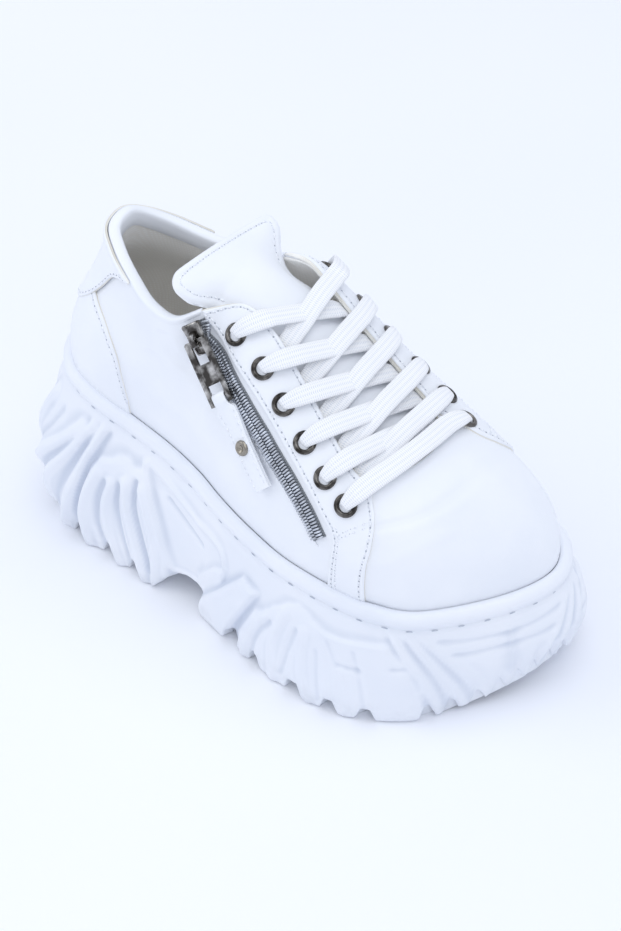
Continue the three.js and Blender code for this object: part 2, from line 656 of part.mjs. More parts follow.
// Slider body, waisted like a shield, with an arched bail that the pull hangs from.
function makeSlider() {
  const f = sliderFrame();
  const l = SLIDER_LENGTH / 2;
  const w = SLIDER_WIDTH / 2;
  const plan = new THREE.Shape();
  plan.moveTo(-l, -w);
  plan.lineTo(-l + SLIDER_SHOULDER, -w);
  plan.lineTo(l, -w + SLIDER_TAPER);
  plan.lineTo(l, w - SLIDER_TAPER);
  plan.lineTo(-l + SLIDER_SHOULDER, w);
  plan.lineTo(-l, w);
  plan.closePath();
  const body = new THREE.ExtrudeGeometry(plan, { depth: SLIDER_THICK, bevelEnabled: false });
  const arch = new THREE.Shape();
  const shoulder = 3.4;
  arch.moveTo(-BAIL_LENGTH / 2, -1);
  arch.lineTo(-shoulder, BAIL_HEIGHT - 1);
  arch.lineTo(-BAIL_TOP / 2, BAIL_HEIGHT);
  arch.lineTo(BAIL_TOP / 2, BAIL_HEIGHT);
  arch.lineTo(shoulder, BAIL_HEIGHT - 1);
  arch.lineTo(BAIL_LENGTH / 2, -1);
  arch.closePath();
  arch.holes.push(roundHole(0, BAIL_CLEAR + BAIL_HOLE / 2, BAIL_HOLE / 2, 10));
  const bail = new THREE.ExtrudeGeometry(arch, { depth: BAIL_WIDTH, bevelEnabled: false, curveSegments: 5 });
  bail.translate(0, 0, -BAIL_WIDTH / 2);
  bail.rotateX(Math.PI / 2);
  bail.translate(0, 0, SLIDER_THICK);
  const place = framed(f.x, f.y, f.z, f.at);
  const solid = toSolid(body.applyMatrix4(place)).add(toSolid(bail.applyMatrix4(place)));
  return fromSolid(solid);
}

// Frame of the pull: origin at the hinge in the bail's eye, X down the pull, Z out of the shoe.
function pullFrame() {
  const f = sliderFrame();
  const at = f.at.clone().addScaledVector(f.z, SLIDER_THICK + BAIL_CLEAR + BAIL_HOLE / 2);
  const x = f.x.clone().applyAxisAngle(f.z, PULL_SWING);
  const y = f.z.clone().cross(x).normalize();
  x.applyAxisAngle(y, -PULL_TIP);
  const z = x.clone().cross(y).normalize();
  return { x, y, z, at };
}

// Metal pull: a plate with a window round the bail and two prongs that hold a cross pin.
function makePull() {
  const f = pullFrame();
  const w = PULL_WIDTH / 2;
  const b = PULL_THICK / 2;
  const plate = new THREE.Shape();
  plate.moveTo(-b, -w + 2);
  plate.lineTo(-b, w - 2);
  plate.lineTo(PULL_SHOULDER, w);
  plate.lineTo(PULL_LENGTH - 1.5, w);
  plate.lineTo(PULL_LENGTH, w - 1);
  plate.lineTo(PULL_LENGTH - 1, w - PULL_PRONG);
  plate.lineTo(PULL_LENGTH - PULL_PRONG_LENGTH, w - PULL_PRONG);
  plate.lineTo(PULL_LENGTH - PULL_PRONG_LENGTH, -w + PULL_PRONG);
  plate.lineTo(PULL_LENGTH - 1, -w + PULL_PRONG);
  plate.lineTo(PULL_LENGTH, -w + 1);
  plate.lineTo(PULL_LENGTH - 1.5, -w);
  plate.lineTo(PULL_SHOULDER, -w);
  plate.closePath();
  const opening = new THREE.Path();
  opening.moveTo(b, -WINDOW_WIDTH / 2);
  opening.lineTo(WINDOW_END, -WINDOW_WIDTH / 2);
  opening.lineTo(WINDOW_END, WINDOW_WIDTH / 2);
  opening.lineTo(b, WINDOW_WIDTH / 2);
  opening.closePath();
  plate.holes.push(opening);
  const body = new THREE.ExtrudeGeometry(plate, { depth: PULL_THICK, bevelEnabled: false });
  body.translate(0, 0, -b);
  const pin = new THREE.CylinderGeometry(PIN_RADIUS, PIN_RADIUS, PULL_WIDTH - 2, 8);
  pin.translate(PULL_LENGTH - PIN_FROM_END, 0, 0);
  const place = framed(f.x, f.y, f.z, f.at);
  return fromSolid(toSolid(body.applyMatrix4(place)).add(toSolid(pin.applyMatrix4(place))));
}

// Leather strap: looped round the cross pin, closed by the rivet and hanging free below it.
function makeStrap() {
  const f = pullFrame();
  const start = PULL_LENGTH - PIN_FROM_END;
  const ring = PIN_RADIUS + GAP;
  const outer = ring + 1.3;
  const end = start + STRAP_LENGTH;
  const half = STRAP_THICK / 2;
  const side = new THREE.Shape();
  side.moveTo(end, -half);
  side.lineTo(end, half);
  side.lineTo(start + STRAP_LOOP, half);
  side.lineTo(start + 1.5, outer);
  side.absarc(start, 0, outer, 1, 2 * Math.PI - 1, false);
  side.lineTo(start + 1.5, -outer);
  side.lineTo(start + STRAP_LOOP, -half);
  side.closePath();
  side.holes.push(roundHole(start, 0, ring, 10));
  const width = PULL_WIDTH - 2 * PULL_PRONG - 2 * GAP;
  const loop = new THREE.ExtrudeGeometry(side, { depth: width, bevelEnabled: false, curveSegments: 6 });
  loop.translate(0, 0, -width / 2);
  loop.rotateX(Math.PI / 2);
  const wide = new THREE.BoxGeometry(STRAP_LENGTH - STRAP_LOOP, STRAP_WIDTH, STRAP_THICK);
  wide.translate(end - (STRAP_LENGTH - STRAP_LOOP) / 2, 0, 0);
  const place = framed(f.x, f.y, f.z, f.at);
  const bore = new THREE.CylinderGeometry(RIVET_SHANK + GAP, RIVET_SHANK + GAP, 12, 12);
  bore.rotateX(Math.PI / 2);
  bore.translate(start + RIVET_AT, 0, 0);
  return fromSolid(toSolid(loop.applyMatrix4(place)).add(toSolid(wide.applyMatrix4(place)))
    .subtract(toSolid(bore.applyMatrix4(place))));
}

function makeRivet() {
  const f = pullFrame();
  const face = STRAP_THICK / 2 + GAP;
  const back = -face - RIVET_TAIL_THICK;
  const profile = [
    [0, back], [RIVET_TAIL, back], [RIVET_TAIL, -face], [RIVET_SHANK, -face], [RIVET_SHANK, face],
    [RIVET_HEAD, face], [RIVET_HEAD, face + 0.4], [RIVET_HEAD - 0.9, face + 1.2],
    [0, face + RIVET_DOME],
  ].map(([x, y]) => new THREE.Vector2(x, y));
  const rivet = new THREE.LatheGeometry(profile, 12);
  rivet.rotateX(Math.PI / 2);
  rivet.translate(PULL_LENGTH - PIN_FROM_END + RIVET_AT, 0, 0);
  return fromSolid(toSolid(rivet.applyMatrix4(framed(f.x, f.y, f.z, f.at))));
}

// ---------------------------------------------------------------- the shoe

add('sole', makeSole(), WHITE_SOLE);
add('upper', makeUpper(), WHITE_LEATHER);
add('tongue', makeTongue(), WHITE_LEATHER);
add('insole', makeInsole(), LINING);
makeEyelets();
makeLace();
add('zip_chain', makeZipChain(), SILVER);
add('zip_slider', makeSlider(), SILVER);
add('zip_pull', makePull(), SILVER);
add('pull_strap', makeStrap(), WHITE_LEATHER);
add('pull_rivet', makeRivet(), SILVER);

// The origin goes under the middle of the shoe's box.
const box = new THREE.Box3().setFromObject(group);
const centre = box.getCenter(v());
group.position.set(-centre.x, -centre.y, -box.min.z);

export default group;
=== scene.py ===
# Platform sneaker, right shoe: the visible model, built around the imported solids.
# Lengths in the tables are millimetres in the last's own frame; the pieces are in metres.

import json
import math

import bpy
import numpy as np
from mathutils import Matrix, Vector


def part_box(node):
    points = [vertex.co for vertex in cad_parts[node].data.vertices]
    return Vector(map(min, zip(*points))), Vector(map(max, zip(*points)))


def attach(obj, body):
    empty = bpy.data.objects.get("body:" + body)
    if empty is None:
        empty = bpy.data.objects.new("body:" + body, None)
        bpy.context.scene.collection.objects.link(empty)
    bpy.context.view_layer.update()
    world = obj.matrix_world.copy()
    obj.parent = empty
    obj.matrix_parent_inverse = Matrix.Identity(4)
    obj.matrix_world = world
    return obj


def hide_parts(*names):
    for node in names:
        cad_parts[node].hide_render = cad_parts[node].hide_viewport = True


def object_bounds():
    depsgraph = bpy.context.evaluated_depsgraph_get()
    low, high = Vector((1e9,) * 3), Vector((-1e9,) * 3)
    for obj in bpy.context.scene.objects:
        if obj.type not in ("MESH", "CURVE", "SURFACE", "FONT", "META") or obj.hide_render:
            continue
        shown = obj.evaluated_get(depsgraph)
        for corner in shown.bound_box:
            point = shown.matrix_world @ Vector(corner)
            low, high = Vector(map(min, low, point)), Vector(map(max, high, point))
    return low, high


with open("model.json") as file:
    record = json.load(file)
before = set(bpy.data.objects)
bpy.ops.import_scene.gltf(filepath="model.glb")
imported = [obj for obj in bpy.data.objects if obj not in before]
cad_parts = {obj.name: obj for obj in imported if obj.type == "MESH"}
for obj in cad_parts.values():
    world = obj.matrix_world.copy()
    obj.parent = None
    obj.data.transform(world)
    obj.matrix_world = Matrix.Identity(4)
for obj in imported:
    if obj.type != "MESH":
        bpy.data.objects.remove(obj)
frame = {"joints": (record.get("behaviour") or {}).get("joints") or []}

bl_info = {
    "name": "Platform Sneaker",
    "version": (1, 0, 0),
    "blender": (4, 5, 0),
    "location": "View3D > Sidebar > Sneaker",
    "description": "Builds a laced platform sneaker with a side zip around its packed solids",
    "category": "Add Mesh",
}

CAD_BOX = [list(corner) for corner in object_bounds()]

# ---------------------------------------------------------------- sizes, in millimetres

SOLE_LOW_CORNER = np.array([-13.926, -56.175, 0.0])  # the sole's lowest corner in the last's frame
SHIFT = np.array(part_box("sole")[0]) * 1000 - SOLE_LOW_CORNER

WALL = 2.2  # leather and lining of the upper
COLLAR_WALL = 4.6  # padded collar
BEAD = 5.6  # reach of the rolled rim around the sole
INSOLE_THICK = 3.5
LUG_DEPTH = 6.3

# The last: foot of each rib on the sole's rim, its top on the opening's edge, then how the rib
# leaves the rim (rise, lean) and comes to the edge (out, drop). In order from the back of the
# heel, along the outer side, round the toe and back along the inner side.
LAST = np.array([
    (4, 0, 91, 25, 3, 156, 26, 3, 0, 24),
    (8, -17, 90, 28, -9, 154.5, 26, 3, 1, 24),
    (20, -29, 87.5, 39, -17, 151, 26, 3, 2, 24),
    (37, -32.5, 83, 54, -24, 147, 26, 3, 3, 22),
    (58, -31, 77.5, 70, -29.5, 143, 26, 2, 3, 22),
    (80, -31.5, 73.5, 86, -30, 143, 26, 2, 4, 20),
    (98, -33.8, 70.2, 98.5, -21.5, 149.7, 30, 3, 9, 16),
    (113, -37.7, 67.8, 111, -11.5, 151.8, 32, 4, 17, 7),
    (127, -40.8, 65.8, 126, -11.8, 145.8, 31, 5, 20, 4),
    (141, -43, 63.8, 141, -14.8, 135.2, 29, 5, 21, 4),
    (155, -44.6, 62, 156, -18.8, 124.4, 27, 5, 20, 5),
    (169, -44.2, 60.3, 172, -24, 115.2, 25, 5, 17, 7),
    (184, -42.4, 58.6, 185, -27, 109, 26, 5, 14, 8),
    (201, -38.3, 57, 192.5, -21, 107.5, 26, 5, 18, 8),
    (218, -28, 55.8, 195.5, -10, 107.8, 28, 4, 22, 6),
    (237, 2, 55, 196.5, 0, 108, 28, 3, 22, 4),
    (243, 27, 55.2, 195, 9, 108, 28, 3, 22, 5),
    (232, 43, 56.6, 188, 20, 108.8, 27, 4, 19, 6),
    (211, 48, 58.5, 179, 24, 112.5, 28, 4, 17, 6),
    (190, 48, 60.3, 167, 24.5, 119, 29, 4, 19, 4),
    (170, 45.5, 62.3, 154, 24.5, 127.2, 31, 5, 20, 3),
    (151, 41.5, 64.6, 140, 24.5, 136.4, 34, 5, 21, 2),
    (133, 38, 67.2, 126, 25.2, 145.6, 36, 5, 20, 3),
    (115, 35, 70, 112, 27, 152.2, 36, 4, 17, 6),
    (96, 32.5, 73.3, 99, 28.5, 150.4, 31, 3, 8, 17),
    (78, 31.5, 76.5, 86, 31, 144, 28, 2, 3, 20),
    (58, 31.2, 80, 69, 28.5, 142, 26, 2, 2, 22),
    (37, 31, 84, 53, 25, 144, 26, 3, 2, 22),
    (20, 27, 88, 38, 21, 147, 26, 3, 1, 24),
    (8, 15, 90.5, 28, 13, 152, 26, 3, 0, 24),
])
ROWS = len(LAST)

# How far the sole stands out past the ribs, at the ground and at its belly.
SOLE_REACH = np.array([
    (13, 17), (17, 22), (16, 19), (12, 13), (14, 12), (14, 11),
    (9, 8), (8, 8), (8, 8), (10, 9), (11, 9), (12, 9),
    (13, 10), (11, 9), (7, 8), (6, 8), (6, 10), (7, 11),
    (8, 9), (10, 9), (10, 9), (9, 8), (8, 8), (8, 8),
    (9, 8), (13, 11), (14, 12), (12, 13), (16, 19), (17, 22),
], float)

GROUND = np.array([  # x, height of the underside
    (-20, 0), (77, 0), (82, 6), (88, 11), (94, 13), (101, 12), (105, 7), (108, 0), (225, 0),
    (235, 3), (244, 7.5), (253, 14),
], float)
SEAT = np.array([  # x, height of the insole's seat
    (0, 78), (30, 75), (60, 69), (90, 61.5), (120, 54.5), (150, 49.5), (180, 46.5), (210, 45.5),
    (245, 46),
], float)

# Gaps between the lugs: place around the last on the outer side, width at the ground.
LUG_GAPS = [
    (1.5, 6.5), (2.5, 7), (3.4, 6.5), (4.25, 6), (8.15, 6), (9.45, 7), (11.0, 8), (12.15, 7),
    (12.95, 7), (14.02, 6), (14.32, 5), (14.61, 5), (14.87, 5),
]

# Raised plates on the sole's side: outline as (place, height), how far they stand out, edge softness.
SOLE_PLATES = [
    ([(2.3, -4), (2.6, 11), (2.85, 30), (3.05, 47), (3.29, 54), (3.58, 56), (3.77, 59), (4.03, 59.5),
      (4.2, 56.5), (4.42, 58), (4.65, 50), (4.88, 38), (5.12, 27), (5.3, 14), (5.3, -4)], 1.5, 1.1),
    ([(6.3, -4), (6.76, 11), (8.84, 43), (9.5, 40), (8.1, 6), (7.95, -4)], 3.2, 0.8),
    ([(6.4, 18), (7.3, 33), (7.85, 37), (7.75, 28), (6.9, 12)], 1.1, 0.6),
    ([(8.5, 8), (9.4, 31), (9.85, 34), (9.3, 14)], 1.3, 0.6),
    ([(8.35, -4), (8.75, 13), (9.45, 27), (10.11, 39), (10.66, 45), (11.03, 46.5), (11.36, 44.5),
      (11.61, 41.5), (11.93, 39.5), (12.38, 39), (12.78, 40), (13.42, 41), (13.7, 33), (13.95, 18),
      (14.02, -4)], 2.0, 1.0),
    ([(-0.8, 20), (0.8, 20), (0.62, 68), (-0.62, 68)], 1.0, 1.2),
]

# Ridges and slits on the sole's side: points as (place, height), half width, height.
SOLE_STROKES = [
    ([(0.62, 70), (0.55, 52), (0.42, 32), (0.36, 8)], 3.4, 1.8),
    ([(1.62, 70), (1.28, 54), (0.98, 36), (0.82, 10)], 3.8, 1.9),
    ([(1.15, 69), (0.92, 53), (0.7, 34), (0.6, 8)], 1.4, -1.1),
    ([(2.1, 67), (1.75, 53), (1.3, 36), (1.02, 10)], 1.4, -1.1),
    ([(2.78, 66), (2.24, 53), (1.6, 35), (1.25, 22), (1.05, 6)], 4.2, 2.0),
    ([(3.07, 68), (2.69, 57), (2.3, 44), (1.9, 28), (1.65, 10)], 3.8, 2.0),
    ([(3.36, 70), (3.14, 60), (2.85, 46), (2.5, 26), (2.15, 4)], 3.8, 2.2),
    ([(3.44, 68), (3.24, 59), (3.0, 45), (2.72, 26), (2.5, 6)], 1.5, -1.6),
    ([(2.95, 68), (2.5, 55), (2.1, 42), (1.72, 26), (1.5, 8)], 1.3, -1.0),
    ([(3.22, 69), (2.92, 58), (2.58, 44), (2.2, 26), (1.9, 8)], 1.3, -1.0),
    ([(3.25, 47), (3.0, 35), (2.85, 20), (2.9, 0)], 4.4, 1.4),
    ([(3.59, 44), (3.47, 32), (3.55, 16), (3.8, 0)], 4.4, 1.6),
    ([(4.03, 48), (4.1, 34), (4.4, 14), (4.65, 0)], 4.4, 1.6),
    ([(4.46, 49), (4.69, 34), (4.92, 19), (4.95, 0)], 4.0, 1.4),
    ([(3.46, 44), (3.27, 32), (3.2, 17), (3.4, 0)], 1.2, -1.5),
    ([(3.78, 45), (3.74, 34), (3.9, 18), (4.25, 0)], 1.2, -1.3),
    ([(4.31, 51), (4.25, 38), (4.45, 24), (4.75, 8)], 1.2, -1.6),
    ([(4.45, 61), (4.65, 50), (4.88, 38), (5.12, 27), (5.4, 15)], 1.5, 1.1),
    ([(4.45, 61), (4.55, 63), (4.67, 62), (5.17, 58), (5.75, 53.5), (6.51, 49.5), (7.26, 48),
      (7.71, 45), (7.85, 38)], 1.5, 1.2),
    ([(5.2, 50), (5.65, 45), (6.06, 41), (6.64, 38)], 1.3, -1.1),
    ([(5.5, 14), (6.1, 14), (6.7, 14)], 2.2, 0.8),
    ([(10.07, 31), (9.62, 20), (9.35, 6)], 1.4, -1.2),
    ([(11.0, 34), (10.75, 21), (10.55, 8)], 1.4, -1.2),
    ([(11.71, 29), (11.75, 18), (11.86, 5)], 1.3, -0.9),
    ([(12.0, 36), (12.23, 28), (12.44, 19), (12.55, 6)], 1.3, -0.8),
    ([(12.68, 35), (12.81, 23), (12.93, 8)], 1.3, -0.9),
    ([(9.9, 34), (9.35, 20), (8.9, 2)], 3.6, 1.1),
    ([(10.6, 40), (10.2, 22), (10.2, 0)], 4.0, 1.2),
    ([(11.3, 36), (11.25, 20), (11.55, 0)], 4.0, 1.2),
    ([(12.4, 24), (12.55, 0)], 3.6, 0.8),
    ([(12.37, 26), (12.8, 26)], 1.1, -1.4),
    ([(13.5, 30), (13.68, 30)], 1.1, -1.4),
    ([(13.31, 50), (13.44, 42), (13.67, 33), (13.86, 22), (14.02, 4)], 1.2, -1.2),
    ([(13.58, 51), (13.79, 40), (13.96, 32), (14.14, 22), (14.32, 4)], 1.2, -1.2),
    ([(13.74, 51), (14.01, 40), (14.27, 27), (14.61, 6)], 1.2, -1.2),
    ([(13.45, 49), (13.62, 40), (13.83, 30), (14.0, 20), (14.17, 2)], 3.4, 1.4),
    ([(13.66, 50), (13.9, 40), (14.12, 28), (14.47, 2)], 3.2, 1.4),
    ([(13.9, 48), (14.2, 36), (14.45, 24), (14.74, 2)], 3.0, 1.2),
    ([(14.17, 42), (14.5, 40), (14.85, 39), (15.3, 38.5), (16, 38.5)], 1.2, -1.1),
    ([(14.29, 34), (14.58, 33), (14.95, 33), (15.4, 33), (16, 33)], 1.2, -1.1),
    ([(11.61, 41.5), (11.93, 39.5), (12.38, 39), (12.78, 40), (13.42, 41)], 1.4, 0.7),
]

# The tongue: x, y, z of its middle, half width, how far its sides drop, thickness.
TONGUE = np.array([
    (80, 3.4, 162.6, 27, 5, 4.2),
    (87, 3.6, 161, 26, 7, 4.2),
    (94, 3.8, 158.6, 22.8, 9, 4.2),
    (103, 4.2, 154.6, 21, 10, 4.2),
    (115, 5, 148.2, 21, 8, 4),
    (130, 5.2, 140.2, 22.5, 8, 3.6),
    (145, 5, 130.6, 24.5, 8, 3.2),
    (160, 3.8, 120.4, 26.5, 9, 3),
    (175, 1.6, 111.6, 28, 9, 3),
    (189, -1, 104, 28, 9, 2.6),
    (203, -3, 97.6, 25, 7, 2.2),
])

ZIP_LINE = [  # place around the last, height up the rib
    (5.75, 0.93), (6.2, 0.77), (7.2, 0.635), (8.2, 0.585), (9.2, 0.568), (10.2, 0.53),
    (11.0, 0.455), (11.5, 0.355),
]
EYELET_ROWS = {
    "lateral": [7.3, 8.4, 9.32, 10.22, 11.08, 11.98],
    "medial": [22.9, 21.5, 20.45, 19.42, 18.4, 17.35],
}
EYELET_INSET = 12.5

# ---------------------------------------------------------------- the last's surfaces


def between(a, b, c, d, f):
    """A smooth curve from b to c, at the fraction f of the way, bent by its neighbours a and d."""
    return 0.5 * (
        2 * b + (c - a) * f + (2 * a - 5 * b + 4 * c - d) * f * f + (3 * b - a - 3 * c + d) * f**3
    )


def spline(table, t):
    """Rows of a closed table at fractional places, on a smooth curve."""
    t = np.mod(np.asarray(t, float), len(table))
    i = np.floor(t).astype(int)
    f = (t - i)[..., None]
    a, b, c, d = (table[(i + k) % len(table)] for k in (-1, 0, 1, 2))
    return between(a, b, c, d, f)


def unit(vectors):
    vectors = np.asarray(vectors, float)
    return vectors / np.maximum(np.linalg.norm(vectors, axis=-1, keepdims=True), 1e-9)


def smooth(low, high, value):
    x = np.clip((value - low) / (high - low), 0, 1)
    return x * x * (3 - 2 * x)


def rim(t):
    return spline(LAST, t)[..., :3]


def edge(t):
    return spline(LAST, t)[..., 3:6]


def outward(t):
    t = np.asarray(t, float)
    d = rim(t + 0.05) - rim(t - 0.05)
    return unit(np.stack([d[..., 1], -d[..., 0], 0 * d[..., 0]], -1))


def skin(t, s):
    """Outer face of the upper at place t, from the rim (s = 0) to the opening's edge (s = 1)."""
    t, s = np.broadcast_arrays(np.asarray(t, float), np.asarray(s, float))
    row = spline(LAST, t)
    n = outward(t)
    up = np.array([0.0, 0.0, 1.0])
    a, d = row[..., :3], row[..., 3:6]
    b = a + n * row[..., 7:8] + up * row[..., 6:7]
    c = d + n * row[..., 8:9] - up * row[..., 9:10]
    s = s[..., None]
    u = 1 - s
    return a * u**3 + 3 * b * u * u * s + 3 * c * u * s * s + d * s**3


def skin_normal(t, s):
    t, s = np.broadcast_arrays(np.asarray(t, float), np.asarray(s, float))
    ds = skin(t, np.clip(s + 0.02, 0, 1)) - skin(t, np.clip(s - 0.02, 0, 1))
    dt = skin(t + 0.1, s) - skin(t - 0.1, s)
    return unit(np.cross(dt, ds))


def wall(t, s):
    """Thickness of the upper: thin at the vamp, padded round the collar."""
    t = np.mod(t, ROWS)
    from_heel = np.minimum(t, ROWS - t)
    return WALL + (COLLAR_WALL - WALL) * (1 - smooth(4.2, 6.2, from_heel)) * smooth(0.35, 0.8, s)


def seat(x):
    return np.interp(x, SEAT[:, 0], SEAT[:, 1])


# Soft creases of the upper: points as (place, height up the rib), half width, depth.
CREASES = [
    ([(4.4, 0.62), (5.2, 0.5), (6.2, 0.4)], 7, -0.7),
    ([(4.0, 0.45), (5.0, 0.32), (6.3, 0.25)], 9, 0.5),
    ([(4.7, 0.86), (5.1, 0.72), (5.7, 0.62)], 4, -0.6),
    ([(12.9, 0.62), (14.2, 0.66), (15.6, 0.72)], 5, -0.35),
    ([(12.6, 0.3), (13.4, 0.36), (14.4, 0.5)], 6, 0.35),
    ([(25.6, 0.62), (24.8, 0.5), (23.8, 0.4)], 7, -0.7),
    ([(26.0, 0.45), (25.0, 0.32), (23.7, 0.25)], 9, 0.5),
    ([(17.4, 0.5), (16.8, 0.62), (16.1, 0.72)], 5, -0.35),
]
ROW_PITCH, RIB_LENGTH = 14.5, 88  # rough lengths of one row and one rib, for crease widths


def from_line(u, z, one, other):
    """How far (u, z) is from the straight line between two points."""
    (ua, za), (ub, zb) = one, other
    du, dz = ub - ua, zb - za
    k = np.clip(((u - ua) * du + (z - za) * dz) / max(du * du + dz * dz, 1e-9), 0, 1)
    return np.hypot(u - ua - k * du, z - za - k * dz)


def stroke(u, z, points, half_width, height):
    """A soft ridge or trough along a line of points in the (u, z) plane."""
    away = np.full(np.shape(u), 1e9)
    for one, other in zip(points[:-1], points[1:]):
        away = np.minimum(away, from_line(u, z, one, other))
    return height * (1 - smooth(0.25 if height < 0 else 0, 1, away / half_width))


def plate(u, z, outline, height, soft):
    """A flat raised area inside an outline in the (u, z) plane, with a soft edge."""
    away = np.full(np.shape(u), 1e9)
    inside = np.zeros(np.shape(u), bool)
    for one, other in zip(outline, outline[1:] + outline[:1]):
        away = np.minimum(away, from_line(u, z, one, other))
        (ua, za), (ub, zb) = one, other
        du, dz = ub - ua, zb - za
        crosses = (za > z) != (zb > z)
        with np.errstate(divide="ignore", invalid="ignore"):
            inside ^= crosses & (u < ua + (z - za) * du / dz if dz else crosses & False)
    return height * smooth(-soft, soft, np.where(inside, away, -away))


def worn(t, s, lift=0.0):
    """The upper's outer face with its creases, lifted off by a distance."""
    t, s = np.broadcast_arrays(np.asarray(t, float), np.asarray(s, float))
    bump = np.zeros(t.shape)
    for points, half_width, height in CREASES:
        line = [(p * ROW_PITCH, q * RIB_LENGTH) for p, q in points]
        bump = bump + stroke(np.mod(t, ROWS) * ROW_PITCH, s * RIB_LENGTH, line, half_width, height)
    return skin(t, s) + skin_normal(t, s) * (bump + lift)[..., None]


# ---------------------------------------------------------------- mesh helpers


def to_metres(points):
    return (np.asarray(points, float) + SHIFT) * 0.001


def clear_selection():
    if bpy.context.object and bpy.context.object.mode != "OBJECT":
        bpy.ops.object.mode_set(mode="OBJECT")
    bpy.ops.object.select_all(action="DESELECT")


def make_active(obj):
    clear_selection()
    obj.select_set(True)
    bpy.context.view_layer.objects.active = obj


def grid_piece(name, points, close_u=False, close_v=False, second=None, recess=None):
    """A grid primitive laid over rows of points.

    second marks the faces of a second material; recess is kept as an attribute of the points, which the
    sole's material uses as the mask of its painted shade in the grooves.
    """
    points = np.asarray(points, float)
    if close_u:
        points = np.concatenate([points, points[:1]])
    if close_v:
        points = np.concatenate([points, points[:, :1]], 1)
    n, m = points.shape[:2]
    clear_selection()
    bpy.ops.mesh.primitive_grid_add(x_subdivisions=m - 1, y_subdivisions=n - 1, size=2)
    obj = bpy.context.object
    obj.name = obj.data.name = name
    co = np.empty(len(obj.data.vertices) * 3, np.float32)
    obj.data.vertices.foreach_get("co", co)
    co = co.reshape(-1, 3)
    column = np.rint((co[:, 0] + 1) / 2 * (m - 1)).astype(int)
    row = np.rint((co[:, 1] + 1) / 2 * (n - 1)).astype(int)
    if second is not None:
        centre = np.empty(len(obj.data.polygons) * 3, np.float32)
        obj.data.polygons.foreach_get("center", centre)
        centre = centre.reshape(-1, 3)
        face_column = np.floor((centre[:, 0] + 1) / 2 * (m - 1)).astype(int)
        face_row = np.floor((centre[:, 1] + 1) / 2 * (n - 1)).astype(int)
        marked = np.broadcast_to(second, (n - 1, m - 1))[face_row, face_column]
        obj.data.polygons.foreach_set("material_index", marked.astype(np.int32))
    if recess is not None:
        recess = np.concatenate([recess, recess[:, :1]], 1)
        layer = obj.data.attributes.new("recess", "FLOAT", "POINT")
        layer.data.foreach_set("value", recess[row, column].astype(np.float32))
    obj.data.vertices.foreach_set("co", to_metres(points[row, column]).astype(np.float32).ravel())
    obj.data.update()
    return obj


def tidy_mesh(obj, merge=0.00001, outside=True):
    """Merges doubles and points the faces out."""
    make_active(obj)
    bpy.ops.object.mode_set(mode="EDIT")
    bpy.ops.mesh.select_all(action="SELECT")
    bpy.ops.mesh.remove_doubles(threshold=merge)
    if outside:
        bpy.ops.mesh.normals_make_consistent(inside=False)
    bpy.ops.object.mode_set(mode="OBJECT")
    return obj


def apply_modifier(obj, kind, **settings):
    make_active(obj)
    modifier = obj.modifiers.new(kind.title(), kind)
    for key, value in settings.items():
        setattr(modifier, key, value)
    bpy.ops.object.modifier_apply(modifier=modifier.name)


def smooth_shade(obj, degrees=None):
    make_active(obj)
    if degrees is None:
        bpy.ops.object.shade_smooth()
    else:
        bpy.ops.object.shade_smooth_by_angle(angle=math.radians(degrees))


def finish_piece(obj, material, body="shoe", replaces=(), second=None):
    obj.data.materials.append(material)
    if second:
        obj.data.materials.append(second)
    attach(obj, body)
    if replaces:
        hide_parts(*replaces)
    return obj


def joined(name, objects):
    clear_selection()
    for obj in objects:
        obj.select_set(True)
    bpy.context.view_layer.objects.active = objects[0]
    if len(objects) > 1:
        bpy.ops.object.join()
    objects[0].name = objects[0].data.name = name
    return objects[0]


def copies(name, master, matrices):
    """One mesh that holds the master's mesh at each matrix; the master is removed."""
    n = len(master.data.vertices)
    co = np.empty(n * 3, np.float32)
    master.data.vertices.foreach_get("co", co)
    co = np.concatenate([co.reshape(-1, 3), np.ones((n, 1))], 1)
    faces = [list(p.vertices) for p in master.data.polygons]
    smooth_faces = master.data.polygons[0].use_smooth
    all_points, all_faces = [], []
    for k, matrix in enumerate(matrices):
        all_points.append((co @ np.array(matrix).T)[:, :3])
        all_faces += [[v + k * n for v in face] for face in faces]
    mesh = bpy.data.meshes.new(name)
    mesh.from_pydata(np.concatenate(all_points).tolist(), [], all_faces)
    mesh.update()
    mesh.polygons.foreach_set("use_smooth", [smooth_faces] * len(all_faces))
    obj = bpy.data.objects.new(name, mesh)
    bpy.context.collection.objects.link(obj)
    bpy.data.objects.remove(master)
    return obj


def basis(x, y, z, at):
    """Matrix in metres with the three axes, at a point in the last's millimetres."""
    m = Matrix.Identity(4)
    for k, axis in enumerate((x, y, z)):
        for r in range(3):
            m[r][k] = float(axis[r])
    place = to_metres(at)
    for r in range(3):
        m[r][3] = float(place[r])
    return m


def resample(points, count=None, step=None):
    """Points at even spacing along a line of points."""
    points = np.asarray(points, float)
    run = np.concatenate([[0], np.cumsum(np.linalg.norm(np.diff(points, axis=0), axis=1))])
    if count is None:
        count = max(2, int(round(run[-1] / step)) + 1)
    at = np.linspace(0, run[-1], count)
    return np.stack([np.interp(at, run, points[:, k]) for k in range(points.shape[1])], 1)


def curve_through(points, per_span=12):
    """A smooth line through the points, which it keeps at its ends."""
    p = np.asarray(points, float)
    p = np.concatenate([[2 * p[0] - p[1]], p, [2 * p[-1] - p[-2]]])
    out = []
    for i in range(1, len(p) - 2):
        f = np.linspace(0, 1, per_span, endpoint=False)[:, None]
        out.append(between(p[i - 1], p[i], p[i + 1], p[i + 2], f))
    out.append(p[-2][None])
    return np.concatenate(out)


